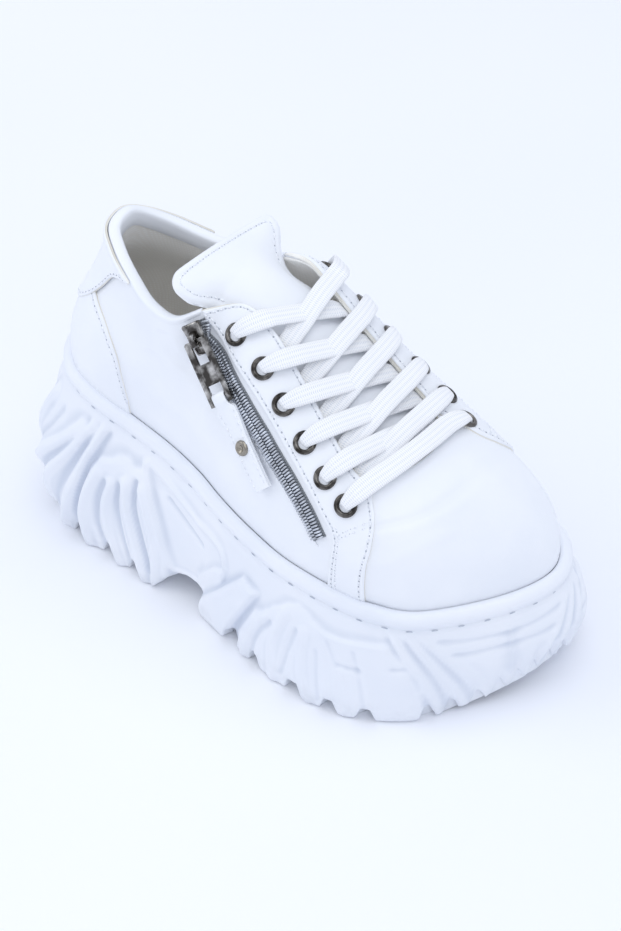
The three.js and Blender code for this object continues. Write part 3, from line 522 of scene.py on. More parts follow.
def ribbon_points(path, width_axis, widths, thickness, profile):
    """Rings of a flat band: path, width directions, widths and one closed cross-section."""
    tangent = unit(np.gradient(path, axis=0))
    across = unit(width_axis - tangent * np.sum(width_axis * tangent, -1, keepdims=True))
    lift = np.cross(tangent, across)
    profile = np.asarray(profile, float)
    thickness = np.broadcast_to(np.asarray(thickness, float), (len(path),))
    return (path[:, None] + across[:, None] * (profile[:, 0][None, :, None] * widths[:, None, None] / 2)
            + lift[:, None] * (profile[:, 1][None, :, None] * thickness[:, None, None] / 2))


def capped(points):
    """Rings with their two ends drawn in to a point each."""
    first, last = points[:1].mean(1, keepdims=True), points[-1:].mean(1, keepdims=True)
    return np.concatenate([np.repeat(first, points.shape[1], 1), points,
                           np.repeat(last, points.shape[1], 1)])


# ---------------------------------------------------------------- materials


def linear(text):
    """An sRGB hex colour as linear red, green, blue and alpha."""
    values = [int(text[i:i + 2], 16) / 255 for i in (0, 2, 4)]
    return [v / 12.92 if v <= 0.04045 else ((v + 0.055) / 1.055) ** 2.4 for v in values] + [1.0]


def add_node(tree, kind, links=None, **settings):
    """Adds a node with its settings; links gives its inputs a value or another node's output."""
    node = tree.nodes.new(kind)
    for key, value in settings.items():
        setattr(node, key, value)
    for key, value in (links or {}).items():
        if isinstance(value, bpy.types.NodeSocket):
            tree.links.new(value, node.inputs[key])
        else:
            node.inputs[key].default_value = value
    return node


def start_material(name, **constants):
    """A material with a Principled shader; constants go on the shader's own sockets."""
    material = bpy.data.materials.new(name)
    material.use_nodes = True
    tree = material.node_tree
    tree.nodes.clear()
    output = add_node(tree, "ShaderNodeOutputMaterial")
    links = {key.replace("_", " "): value for key, value in constants.items()}
    shader = add_node(tree, "ShaderNodeBsdfPrincipled", links)
    tree.links.new(shader.outputs["BSDF"], output.inputs["Surface"])
    coords = add_node(tree, "ShaderNodeTexCoord")
    return material, tree, shader, coords


def mix_colour(tree, factor, one, other, blend="MIX"):
    node = add_node(tree, "ShaderNodeMix", {0: factor, 6: one, 7: other}, data_type="RGBA", blend_type=blend)
    return node.outputs[2]


def ramp(tree, factor, low, high):
    node = add_node(tree, "ShaderNodeMapRange", {"Value": factor, "From Min": low, "From Max": high})
    return node.outputs["Result"]


def connect_bump(tree, shader, *layers):
    """Chains bump nodes of (height, distance in millimetres, strength)."""
    normal = None
    for height, distance, strength in layers:
        links = {"Height": height, "Distance": distance * 0.001, "Strength": strength}
        if normal is not None:
            links["Normal"] = normal
        normal = add_node(tree, "ShaderNodeBump", links).outputs["Normal"]
    tree.links.new(normal, shader.inputs["Normal"])


def coated_leather(name, colour, shade, roughness=0.42):
    """Polyurethane-coated leather, embossed: an even cool white with a soft sheen and a fine grain."""
    material, tree, shader, coords = start_material(name, IOR=1.5, Coat_Weight=0.06, Coat_Roughness=0.35)
    place = coords.outputs["Object"]
    clouds = add_node(tree, "ShaderNodeTexNoise", {"Vector": place, "Scale": 28, "Detail": 3})
    tone = ramp(tree, clouds.outputs["Fac"], 0.3, 0.75)
    tree.links.new(mix_colour(tree, tone, colour, shade), shader.inputs["Base Color"])
    # the real grain is about 0.3 mm; it is drawn at 0.9 mm so that it shows
    grain = add_node(tree, "ShaderNodeTexVoronoi", {"Vector": place, "Scale": 1100}, feature="SMOOTH_F1")
    creases = add_node(tree, "ShaderNodeTexNoise", {"Vector": place, "Scale": 140, "Detail": 4})
    gloss = add_node(tree, "ShaderNodeMapRange", {
        "Value": creases.outputs["Fac"], "To Min": roughness - 0.06, "To Max": roughness + 0.08})
    tree.links.new(gloss.outputs["Result"], shader.inputs["Roughness"])
    connect_bump(tree, shader, (creases.outputs["Fac"], 0.35, 0.35), (grain.outputs["Distance"], 0.05, 0.4))
    return material


def moulded_sole(name, colour, shade, soiled, groove_shade):
    """Moulded EVA and rubber: matt, stippled by the mould, greyer near the ground, with painted shade in its
    grooves.
    """
    material, tree, shader, coords = start_material(name, IOR=1.5)
    place = coords.outputs["Object"]
    clouds = add_node(tree, "ShaderNodeTexNoise", {"Vector": place, "Scale": 22, "Detail": 3})
    body = mix_colour(tree, ramp(tree, clouds.outputs["Fac"], 0.3, 0.75), colour, shade)
    height = add_node(tree, "ShaderNodeSeparateXYZ", {0: place}).outputs["Z"]
    low = add_node(tree, "ShaderNodeMapRange", {
        "Value": height, "From Min": 0.0, "From Max": 0.012, "To Min": 0.5, "To Max": 0.0}).outputs["Result"]
    specks = add_node(tree, "ShaderNodeTexNoise", {"Vector": place, "Scale": 160, "Detail": 5})
    dirt = add_node(tree, "ShaderNodeMath", {
        0: low, 1: ramp(tree, specks.outputs["Fac"], 0.4, 0.75)}, operation="MULTIPLY").outputs[0]
    # painted shade: the recess mask darkens the grooves of the sole's side with a cool grey
    recess = add_node(tree, "ShaderNodeAttribute", attribute_name="recess").outputs["Fac"]
    body = mix_colour(tree, ramp(tree, recess, 0.05, 1.2), body, groove_shade)
    tree.links.new(mix_colour(tree, dirt, body, soiled), shader.inputs["Base Color"])
    # the mould's stipple is about 0.4 mm; it is drawn at 0.8 mm so that it shows
    stipple = add_node(tree, "ShaderNodeTexNoise", {"Vector": place, "Scale": 1250, "Detail": 2})
    gloss = add_node(tree, "ShaderNodeMapRange", {
        "Value": clouds.outputs["Fac"], "To Min": 0.48, "To Max": 0.6})
    tree.links.new(gloss.outputs["Result"], shader.inputs["Roughness"])
    connect_bump(tree, shader, (clouds.outputs["Fac"], 0.4, 0.2), (stipple.outputs["Fac"], 0.06, 0.4))
    return material


def knitted_lining(name, colour, shade):
    """Brushed polyester knit: off-white, soft, with a fine rib and a little fuzz."""
    material, tree, shader, coords = start_material(
        name, IOR=1.45, Sheen_Weight=0.25, Sheen_Roughness=0.5, Roughness=0.9)
    place = coords.outputs["Object"]
    # a wale of the knit is about 0.5 mm; it is drawn at 0.8 mm so that it shows
    across = add_node(tree, "ShaderNodeTexWave", {
        "Vector": place, "Scale": 230, "Distortion": 2.0, "Detail": 1}, bands_direction="X")
    down = add_node(tree, "ShaderNodeTexWave", {
        "Vector": place, "Scale": 260, "Distortion": 2.0, "Detail": 1}, bands_direction="Z")
    weave = add_node(tree, "ShaderNodeMath", {
        0: across.outputs["Fac"], 1: down.outputs["Fac"]}, operation="MULTIPLY").outputs[0]
    fuzz = add_node(tree, "ShaderNodeTexNoise", {"Vector": place, "Scale": 60, "Detail": 4})
    body = mix_colour(tree, ramp(tree, weave, 0.0, 0.8), shade, colour)
    tree.links.new(mix_colour(tree, ramp(tree, fuzz.outputs["Fac"], 0.35, 1.4), body, shade),
                   shader.inputs["Base Color"])
    connect_bump(tree, shader, (fuzz.outputs["Fac"], 0.5, 0.3), (weave, 0.1, 0.35))
    return material


def woven_ribbon(name, colour, shade, length, width, rib=1.0, thread=0.9):
    """Flat woven polyester: lengthwise ribs crossed by fine threads; length and width are its own."""
    material, tree, shader, coords = start_material(name, IOR=1.48, Sheen_Weight=0.15, Roughness=0.78)
    real = add_node(tree, "ShaderNodeMapping", {"Vector": coords.outputs["UV"], "Scale": (width, length, 1)})
    split = add_node(tree, "ShaderNodeSeparateXYZ", {0: real.outputs["Vector"]})
    # threads are about 0.4 mm; they are drawn at about 1.2 mm so that they show
    rib_wave = add_node(tree, "ShaderNodeMath", {
        0: split.outputs["X"], 1: 2 * math.pi / rib}, operation="MULTIPLY").outputs[0]
    ribs = add_node(tree, "ShaderNodeMath", {0: rib_wave}, operation="COSINE").outputs[0]
    slant = add_node(tree, "ShaderNodeMath", {0: ribs, 1: 0.9}, operation="MULTIPLY").outputs[0]
    thread_wave = add_node(tree, "ShaderNodeMath", {
        0: split.outputs["Y"], 1: 2 * math.pi / thread, 2: slant}, operation="MULTIPLY_ADD").outputs[0]
    threads = add_node(tree, "ShaderNodeMath", {0: thread_wave}, operation="COSINE").outputs[0]
    weave = add_node(tree, "ShaderNodeMath", {
        0: ribs, 1: 0.6, 2: threads}, operation="MULTIPLY_ADD").outputs[0]
    fuzz = add_node(tree, "ShaderNodeTexNoise", {"Vector": coords.outputs["Object"], "Scale": 500,
                                                 "Detail": 3})
    body = mix_colour(tree, ramp(tree, weave, -1.4, 0.2), shade, colour)
    tree.links.new(body, shader.inputs["Base Color"])
    connect_bump(tree, shader, (weave, 0.07, 0.6), (fuzz.outputs["Fac"], 0.1, 0.3))
    return material


def plated_metal(name, colour, patch_colour, roughness):
    """Cast zinc, barrel plated: a soft mirror with hairline marks, its colour mixed in cloudy patches with a
    second colour; lighter patches are painted highlights.
    """
    material, tree, shader, coords = start_material(name, Metallic=1.0)
    place = coords.outputs["Object"]
    clouds = add_node(tree, "ShaderNodeTexNoise", {"Vector": place, "Scale": 220, "Detail": 4})
    marks = add_node(tree, "ShaderNodeTexNoise", {"Vector": place, "Scale": 900, "Detail": 3})
    # painted highlights: cloudy patches of a lighter colour stand in for glints on dark plating
    tone = ramp(tree, clouds.outputs["Fac"], 0.42, 0.66)
    tree.links.new(mix_colour(tree, tone, colour, patch_colour), shader.inputs["Base Color"])
    gloss = add_node(tree, "ShaderNodeMapRange", {
        "Value": clouds.outputs["Fac"], "To Min": roughness - 0.07, "To Max": roughness + 0.12})
    tree.links.new(gloss.outputs["Result"], shader.inputs["Roughness"])
    connect_bump(tree, shader, (clouds.outputs["Fac"], 0.06, 0.4), (marks.outputs["Fac"], 0.02, 0.4))
    return material


def twisted_thread(name, colour, shade):
    """Bonded nylon thread: white, with the slant of its twist."""
    material, tree, shader, coords = start_material(name, IOR=1.5, Roughness=0.6, Sheen_Weight=0.1)
    # the twist of the thread is about 0.5 mm
    twist = add_node(tree, "ShaderNodeTexWave", {
        "Vector": coords.outputs["Object"], "Scale": 320}, bands_direction="DIAGONAL")
    tree.links.new(mix_colour(tree, twist.outputs["Fac"], shade, colour), shader.inputs["Base Color"])
    connect_bump(tree, shader, (twist.outputs["Fac"], 0.08, 0.5))
    return material


def shadowed_hole(name, colour, shade):
    """Painted shadow in needle holes and in the slots under the sole's rim: dark, dull and uneven."""
    material, tree, shader, coords = start_material(name, Roughness=0.95)
    mottle = add_node(tree, "ShaderNodeTexNoise", {"Vector": coords.outputs["Object"], "Scale": 700})
    tree.links.new(mix_colour(tree, mottle.outputs["Fac"], colour, shade), shader.inputs["Base Color"])
    connect_bump(tree, shader, (mottle.outputs["Fac"], 0.05, 0.3))
    return material


def sealed_paint(name, colour, shade):
    """Matt rolled studio floor: very pale, cool, all but even."""
    material, tree, shader, coords = start_material(name, Roughness=0.75)
    clouds = add_node(tree, "ShaderNodeTexNoise", {"Vector": coords.outputs["Object"], "Scale": 1.5})
    tree.links.new(mix_colour(tree, clouds.outputs["Fac"], colour, shade), shader.inputs["Base Color"])
    return material


# ---------------------------------------------------------------- properties


def length_property(name, description, millimetres):
    return bpy.props.FloatProperty(
        name=name, description=description, default=millimetres * 0.001, unit="LENGTH", precision=4)


def colour_property(name, description, text):
    return bpy.props.FloatVectorProperty(
        name=name, description=description, size=4, subtype="COLOR", default=linear(text), min=0, max=1)


class SneakerSizes(bpy.types.PropertyGroup):
    panel_thick: length_property("Panel", "Thickness of a leather overlay", 1.4)
    stitch_pitch: length_property("Stitch pitch", "From one needle hole to the next", 3.2)
    stitch_inset: length_property("Stitch inset", "From a panel's edge to its seam", 2.2)
    eyelet_flange: length_property("Eyelet", "Outer diameter of an eyelet's rolled flange", 10)
    eyelet_hole: length_property("Eyelet hole", "Diameter of the hole in an eyelet", 5.6)
    lace_width: length_property("Lace width", "Width of the flat lace", 8)
    lace_thick: length_property("Lace thickness", "Thickness of the flat lace", 1.6)
    tooth_pitch: length_property("Tooth pitch", "From one tooth of the zip to the next", 1.3)
    tape_width: length_property("Zip tape", "Width of tape that shows", 7.5)
    plate_length: length_property("Pull length", "Length of the pull plate", 28)
    plate_width: length_property("Pull width", "Width of the pull plate", 11)
    plate_thick: length_property("Pull thickness", "Thickness of the pull plate", 1.5)
    strap_length: length_property("Strap length", "Length of the leather strap below its pin", 42)


class SneakerColours(bpy.types.PropertyGroup):
    leather: colour_property("Leather", "Smooth leather of the upper", "f6f8fc")
    leather_shade: colour_property("Leather shade", "Cloudy tone of the leather", "eff2f8")
    sole: colour_property("Sole", "Moulded sole", "f3f5fa")
    sole_shade: colour_property("Sole shade", "Cloudy tone of the sole", "eaeef6")
    # painted shade in the sole's grooves, not a colour of the moulding
    sole_groove_shade: colour_property("Sole hollow", "Grooves of the sole", "cdd4e2")
    soil: colour_property("Soil", "Dust near the ground", "c3c8d0")
    lining: colour_property("Lining", "Knit inside the collar", "fdfcf8")
    lining_shade: colour_property("Lining shade", "Between the ribs of the knit", "f7f4ee")
    # the leather's beige cut edge, made darker to paint the shadow line along the panels' edges
    shaded_cut_edge: colour_property("Cut edge", "Bare edge of the leather", "d6d1c4")
    lace: colour_property("Lace", "Woven lace", "fdfdfe")
    lace_shade: colour_property("Lace shade", "Between the threads of the lace", "e3e7ee")
    thread: colour_property("Thread", "Sewing thread", "fbfcff")
    slot: colour_property("Slot", "Shadow in a slot under the rim", "9aa4b6")
    hole: colour_property("Needle hole", "Shadow in a needle hole", "6d7684")
    # the tape's dark grey is partly its own colour, partly painted shadow in the zip's slot
    tape: colour_property("Zip tape", "Woven tape behind the teeth", "8b8f94")
    tape_shade: colour_property("Zip tape shade", "Between the threads of the tape", "5c6065")
    gunmetal: colour_property("Gunmetal", "Plating of the eyelets", "3b3835")
    # painted highlights, in cloudy patches on the dark gunmetal
    gunmetal_glint: colour_property("Worn gunmetal", "Where the plating is worn", "85817c")
    rivet: colour_property("Rivet", "Brushed brass nickel of the rivet", "a39c90")
    zip_metal: colour_property("Zip metal", "Teeth of the zip", "b9bcc2")
    nickel: colour_property("Dark nickel", "Plating of the slider and its pull", "4f4c49")
    # painted highlights, in cloudy patches on the dark nickel
    nickel_glint: colour_property("Worn nickel", "Where the plating is worn", "d2cfcb")
    floor: colour_property("Floor", "Studio floor", "eef1fa")


def mm(value):
    """A length property in millimetres."""
    return value * 1000


def finishes():
    """The shoe's materials, made once."""
    found = {m.name: m for m in bpy.data.materials if m.name.startswith("finish ")}
    if found:
        return {name[7:]: m for name, m in found.items()}
    c = bpy.context.scene.sneaker_colours
    made = {
        "leather": coated_leather("finish leather", c.leather, c.leather_shade),
        "tongue": coated_leather("finish tongue", c.leather, c.leather_shade, 0.5),
        # cut-edge finish: the real beige edge, darker as painted shade along the edges
        "edge": coated_leather("finish edge", c.shaded_cut_edge, c.lining, 0.8),
        "sole": moulded_sole("finish sole", c.sole, c.sole_shade, c.soil, c.sole_groove_shade),
        "lining": knitted_lining("finish lining", c.lining, c.lining_shade),
        "thread": twisted_thread("finish thread", c.thread, c.lace_shade),
        # painted shadow in the needle holes and in the slots under the rim
        "hole": shadowed_hole("finish hole", c.hole, c.lace_shade),
        "slot": shadowed_hole("finish slot", c.slot, c.lace_shade),
        "gunmetal": plated_metal("finish gunmetal", c.gunmetal, c.gunmetal_glint, 0.16),
        "zip": plated_metal("finish zip", c.zip_metal, c.lace_shade, 0.28),
        "rivet": plated_metal("finish rivet", c.rivet, c.gunmetal_glint, 0.25),
        "nickel": plated_metal("finish nickel", c.nickel, c.nickel_glint, 0.18),
        "floor": sealed_paint("finish floor", c.floor, c.lace),
    }
    return made


# ---------------------------------------------------------------- sole

OUTLINE_STEPS = 600
FINEST = 1.9  # half width of the narrowest slit or ridge
PLATE_GAIN, RIDGE_GAIN, SLIT_GAIN = 1.5, 1.6, 1.25
TOE_SOFTENING = 0.4  # how much shallower the pattern is round the toe than at the heel


def outline_lengths():
    """Run along the sole's outline at each of many places, in millimetres, from the heel's back."""
    t = np.linspace(0, ROWS, OUTLINE_STEPS + 1)
    p = rim(t) + outward(t) * 9
    run = np.concatenate([[0], np.cumsum(np.linalg.norm(np.diff(p[:, :2], axis=0), axis=1))])
    return t, run


OUTLINE_T, OUTLINE_RUN = outline_lengths()


def run_at(t):
    """Run along the outline at a place; a place before the heel's back gives a negative run."""
    t = np.asarray(t, float)
    turns = np.floor(t / ROWS)
    return np.interp(t - turns * ROWS, OUTLINE_T, OUTLINE_RUN) + turns * OUTLINE_RUN[-1]


def gap_mask(t):
    """1 in the grooves between the lugs, 0 on the lugs."""
    u = run_at(np.minimum(t, ROWS - t))
    mask = np.zeros(np.shape(t))
    for place, width in LUG_GAPS:
        mask = np.maximum(mask, 1 - smooth(width / 2 - 1.8, width / 2 + 1.2, np.abs(u - run_at(place))))
    return mask


def side_relief(t, z, rim_z):
    """How far the moulded pattern stands out of the sole's side."""
    t = np.where(t > ROWS / 2, ROWS - t, t)
    u = run_at(t)
    out = np.zeros(np.broadcast(t, z).shape)
    for points, height, soft in SOLE_PLATES:
        outline = [(float(run_at(p)), q) for p, q in points]
        out = np.maximum(out, plate(u, z, outline, height * PLATE_GAIN, soft))
    for points, half_width, height in SOLE_STROKES:
        line = [(float(run_at(p)), q) for p, q in curve_through(points, 5)]
        gain = RIDGE_GAIN if height > 0 else SLIT_GAIN
        out = out + stroke(u, z, line, max(half_width, FINEST), height * gain)
    for axis in (0, 1):
        for _ in range(2):
            out = (2 * out + np.roll(out, 1, axis) + np.roll(out, -1, axis)) / 4
    below = z - rim_z
    out = out * (1 - smooth(-13, -9, below)) * (1 - TOE_SOFTENING * smooth(7.5, 10.0, t))
    groove = np.clip(1 - np.abs(below + 7.8) / 1.3, 0, 1)
    return out - 0.8 * groove


def groove_shade_mask(t, points):
    """0 to 1: how far each point of the side lies below the relief around it; the mask of the painted shade
    in the sole's grooves.
    """
    t, z = np.broadcast_arrays(t, points[..., 2])
    relief = side_relief(t, z, rim(t)[..., 2])
    around = relief
    for axis in (0, 1):
        for step in (1, 2, 3):
            around = (around + np.roll(around, step, axis) + np.roll(around, -step, axis)) / 3
    return np.clip(around - relief, 0, 1) * (1 - smooth(-14, -10, z - rim(t)[..., 2]))


def sole_side(t, share):
    """Points down the sole's side at place t: share 0 at the ground, 1 at the top of the rim."""
    t, share = np.broadcast_arrays(t, share)
    base, n = rim(t), outward(t)
    reach = spline(SOLE_REACH, t)
    foot_reach, belly = reach[..., 0], reach[..., 1]
    rim_z = base[..., 2]
    ground = np.interp(base[..., 0] + n[..., 0] * foot_reach, GROUND[:, 0], GROUND[:, 1])
    tall = rim_z - ground
    one = np.ones_like(tall)
    heights = [ground - 0.02 * tall, ground, ground + 0.07 * tall, ground + 0.38 * tall,
               ground + 0.7 * tall, rim_z - 6.6, rim_z - 5.2, rim_z - 2.4, rim_z + 0.2, rim_z + 0.8,
               rim_z + 1.7]
    reaches = [foot_reach - 4, foot_reach - 1.6, foot_reach, belly, (belly + BEAD) / 2 - 0.6,
               (BEAD - 1.4) * one, (BEAD - 0.4) * one, (BEAD + 0.1) * one, (BEAD - 1.4) * one,
               (BEAD - 3.6) * one, (BEAD - 6) * one]
    marks = np.array([0, 0.09, 0.42, 0.72, 0.88, 0.905, 0.945, 0.98, 1.0])
    k = np.interp(share, marks, np.arange(len(marks)))
    i = np.minimum(np.floor(k).astype(int), len(marks) - 2)
    f = k - i
    z, r = (
        between(*(np.take_along_axis(column, (i + j)[..., None], -1)[..., 0] for j in range(4)), f)
        for column in (np.stack(heights, -1), np.stack(reaches, -1))
    )
    lifted = ground + LUG_DEPTH * gap_mask(t)
    near = 22.0
    z = np.where(z < ground + near, lifted + (z - ground) * (near + ground - lifted) / near, z)
    r = r + side_relief(t, z, rim_z) * smooth(0.0, 0.03, share)
    p = base + n * r[..., None]
    p[..., 2] = z
    return p


def build_sole():
    rows = np.concatenate([np.linspace(0, 7.9, 210, endpoint=False), np.linspace(7.9, ROWS / 2, 190)])
    t = rows[:, None]
    lateral = sole_side(t, np.linspace(0, 1, 96)[None])
    medial = sole_side(np.mod(ROWS - t, ROWS), np.linspace(0, 1, 78)[None])

    def cup(t):
        base, n = rim(t), outward(t)
        rings = []
        for reach, lift in ((0.6, 0.5), (-0.6, -1.5), (-1.0, None)):
            p = base + n * reach
            p[..., 2] = np.minimum(base[..., 2] - 3, seat(p[..., 0])) if lift is None else base[..., 2] + lift
            rings.append(p)
        return np.concatenate(rings, 1)

    lateral_cup, medial_cup = cup(t), cup(np.mod(ROWS - t, ROWS))
    share = np.linspace(0, 1, 7)[1:-1, None]
    floor = lateral_cup[:, -1:] * (1 - share) + medial_cup[:, -1:] * share
    floor[..., 2] = seat(floor[..., 0])
    across = np.linspace(0, 1, 46)[1:-1]
    under = medial[:, :1] * (1 - across[None, :, None]) + lateral[:, :1] * across[None, :, None]
    ground = np.interp(under[..., 0], GROUND[:, 0], GROUND[:, 1])
    gaps = gap_mask(t)
    middle = 1 - smooth(1.6, 2.4, np.abs(under[..., 1] - 0.5 * (under[:, :1, 1] + under[:, -1:, 1])))
    width = np.abs(under[:, -1:, 1] - under[:, :1, 1])
    depth = np.maximum(LUG_DEPTH * gaps, 3.0 * middle * (width > 30))
    under[..., 2] = ground + depth
    points = np.concatenate([under, lateral, lateral_cup, floor, medial_cup[:, ::-1], medial[:, ::-1]], 1)
    # recess: mask of the painted shade in the grooves of the sole's sides
    recess = np.zeros(points.shape[:2])
    first = under.shape[1]
    recess[:, first:first + lateral.shape[1]] = groove_shade_mask(t, lateral)
    recess[:, -medial.shape[1]:] = groove_shade_mask(np.mod(ROWS - t, ROWS), medial)[:, ::-1]
    obj = grid_piece("moulded_sole", points, close_v=True, recess=recess)
    tidy_mesh(obj)
    smooth_shade(obj, 50)
    return obj


# ---------------------------------------------------------------- upper


def closed_shell(name, outer, top_ring, inner, bottom_ring=None, shaded_cut_edge=False):
    """A torus-like body from rings of points: up the outside, over the top, down the inside."""
    parts = [outer, top_ring, inner] + ([bottom_ring] if bottom_ring is not None else [])
    points = np.concatenate(parts, 1)
    second = np.zeros(points.shape[1], bool)
    # faces over the top take the cut-edge finish, whose darker tone is partly painted shade
    second[outer.shape[1] - 1:outer.shape[1] + top_ring.shape[1]] = shaded_cut_edge
    obj = grid_piece(name, points, close_u=True, close_v=True, second=second[None])
    tidy_mesh(obj)
    return obj


def rib_length(t):
    s = np.linspace(0, 1, 13)
    p = skin(np.asarray(t, float)[..., None], s)
    return np.linalg.norm(np.diff(p, axis=-2), axis=-1).sum(-1)


def build_upper():
    t = np.linspace(0, ROWS, 360, endpoint=False)[:, None]
    s = np.linspace(0, 1, 72)[None]
    outer = worn(t, s)
    n_top, e = skin_normal(t, 1.0), skin(t, 1.0)
    rise = unit(skin(t, 1.0) - skin(t, 0.97))
    over = np.concatenate([e + rise * 0.35 - n_top * 0.2, e + rise * 0.45 - n_top * 0.6,
                           e + rise * 0.35 - n_top * 1.0], 1)
    inner = worn(t, s[:, ::-3], -1.2)
    obj = closed_shell("upper_shell", outer, over, inner, shaded_cut_edge=True)
    smooth_shade(obj, 40)
    return obj


def build_lining():
    t = np.linspace(0, ROWS, 240, endpoint=False)[:, None]
    s = np.linspace(0, 0.985, 40)[None]
    outer = skin(t, s) - skin_normal(t, s) * 1.25
    inner_s = s[:, ::-1]
    depth = np.maximum(wall(t, inner_s), 2.1)
    puff = 0.5 * np.sin(np.pi * smooth(0.45, 1.0, inner_s))
    inner = skin(t, inner_s) - skin_normal(t, inner_s) * (depth + puff)[..., None]
    foot_ring = rim(t) - outward(t) * 2.8
    foot_ring[..., 2] = seat(foot_ring[..., 0]) + 2
    back_ring = rim(t) - outward(t) * 1.4
    back_ring[..., 2] = foot_ring[..., 2]
    obj = closed_shell("knit_lining", outer, inner, foot_ring, back_ring)
    smooth_shade(obj)
    return obj


def build_binding():
    """The leather that is rolled over the collar's edge and a little way down inside it."""
    t = np.linspace(-5.75, 5.8, 150)[:, None]
    length = rib_length(t[:, 0])[:, None]
    e, n = skin(t, 1.0), skin_normal(t, 1.0)
    rise = unit(skin(t, 1.0) - skin(t, 0.97))
    thick = wall(t, 1.0)[..., None]

    def down(below, lift, inside=False):
        s = 1 - below / length
        depth = -(wall(t, s) + lift) if inside else lift * np.ones_like(s)
        return skin(t, s) + skin_normal(t, s) * depth[..., None]

    ring = [down(2.6, -0.4), down(2.4, 0.05), down(1.6, 0.28), down(0.6, 0.34)]
    for angle in np.linspace(0.3, math.pi - 0.3, 7):
        ring.append(e - n * (thick / 2) + n * math.cos(angle) * (thick / 2 + 0.4)
                    + rise * (math.sin(angle) * 1.5 - 0.3))
    ring += [down(below, lift, True) for below, lift in ((1.2, 0.5), (3.2, 0.75), (6.0, 0.8), (6.6, 0.5))]
    ring += [e - n * (thick - 0.3) - rise * 6, e - n * thick / 2 - rise * 3]
    obj = grid_piece("collar_binding", capped(np.concatenate(ring, 1)), close_v=True)
    tidy_mesh(obj)
    smooth_shade(obj, 50)
    return obj


# Leather panels: rows of (inner place, inner height, outer place, outer height) along the panel.
FACING_LATERAL = [
    (5.86, 1.0, 5.93, 0.955), (6.3, 1.0, 6.3, 0.855), (6.7, 1.0, 6.72, 0.765), (7.33, 1.0, 7.33, 0.692),
    (8.1, 1.0, 8.1, 0.671), (8.82, 1.0, 8.82, 0.672), (9.6, 1.0, 9.6, 0.664), (10.27, 1.0, 10.27, 0.635),
    (10.89, 1.0, 10.89, 0.595), (11.47, 1.0, 11.47, 0.525), (12.05, 1.0, 11.82, 0.455),
    (12.5, 0.98, 11.9, 0.41), (12.74, 0.87, 11.93, 0.37), (12.95, 0.75, 11.93, 0.31),
    (13.02, 0.62, 11.91, 0.25), (12.98, 0.46, 11.88, 0.18), (12.88, 0.3, 11.84, 0.11),
    (12.82, 0.14, 11.79, 0.05), (12.79, 0.0, 11.75, 0.0),
]
FACING_MEDIAL = [
    (24.14, 1.0, 24.07, 0.955), (23.7, 1.0, 23.7, 0.855), (23.3, 1.0, 23.28, 0.765),
    (22.67, 1.0, 22.67, 0.692), (21.9, 1.0, 21.9, 0.671), (21.18, 1.0, 21.18, 0.672),
    (20.4, 1.0, 20.4, 0.664), (19.73, 1.0, 19.73, 0.635), (19.11, 1.0, 19.2, 0.595),
    (18.53, 1.0, 18.75, 0.525), (17.95, 1.0, 18.6, 0.455), (17.45, 0.98, 18.6, 0.41),
    (17.2, 0.87, 18.65, 0.37), (17.0, 0.75, 18.75, 0.31), (17.15, 0.6, 18.85, 0.25),
    (17.6, 0.44, 18.93, 0.18), (18.05, 0.28, 18.97, 0.11), (18.15, 0.13, 18.96, 0.05),
    (18.1, 0.0, 18.9, 0.0),
]
COUNTER = [
    (3.84, 0.0, 3.82, 0.1), (3.6, 0.0, 3.68, 0.232), (3.2, 0.0, 3.38, 0.413), (2.6, 0.0, 2.75, 0.543),
    (1.9, 0.0, 1.93, 0.599), (1.0, 0.0, 1.05, 0.62), (0.0, 0.0, 0.0, 0.63), (-1.0, 0.0, -1.05, 0.62),
    (-1.9, 0.0, -1.93, 0.599), (-2.6, 0.0, -2.75, 0.543), (-3.2, 0.0, -3.38, 0.413),
    (-3.6, 0.0, -3.68, 0.232), (-3.84, 0.0, -3.82, 0.1),
]
HEEL_TAB = [
    (3.15, 0.985, 3.15, 1.0), (2.6, 0.91, 2.7, 1.0), (2.23, 0.83, 2.3, 1.0), (2.0, 0.7, 2.0, 1.0),
    (1.75, 0.56, 1.75, 1.0), (1.45, 0.45, 1.45, 1.0), (1.1, 0.37, 1.1, 1.0), (0.6, 0.33, 0.6, 1.0),
    (0.0, 0.32, 0.0, 1.0), (-0.6, 0.33, -0.6, 1.0), (-1.1, 0.37, -1.1, 1.0), (-1.45, 0.45, -1.45, 1.0),
    (-1.75, 0.56, -1.75, 1.0), (-2.0, 0.7, -2.0, 1.0), (-2.23, 0.83, -2.3, 1.0), (-2.6, 0.91, -2.7, 1.0),
    (-3.15, 0.985, -3.15, 1.0),
]


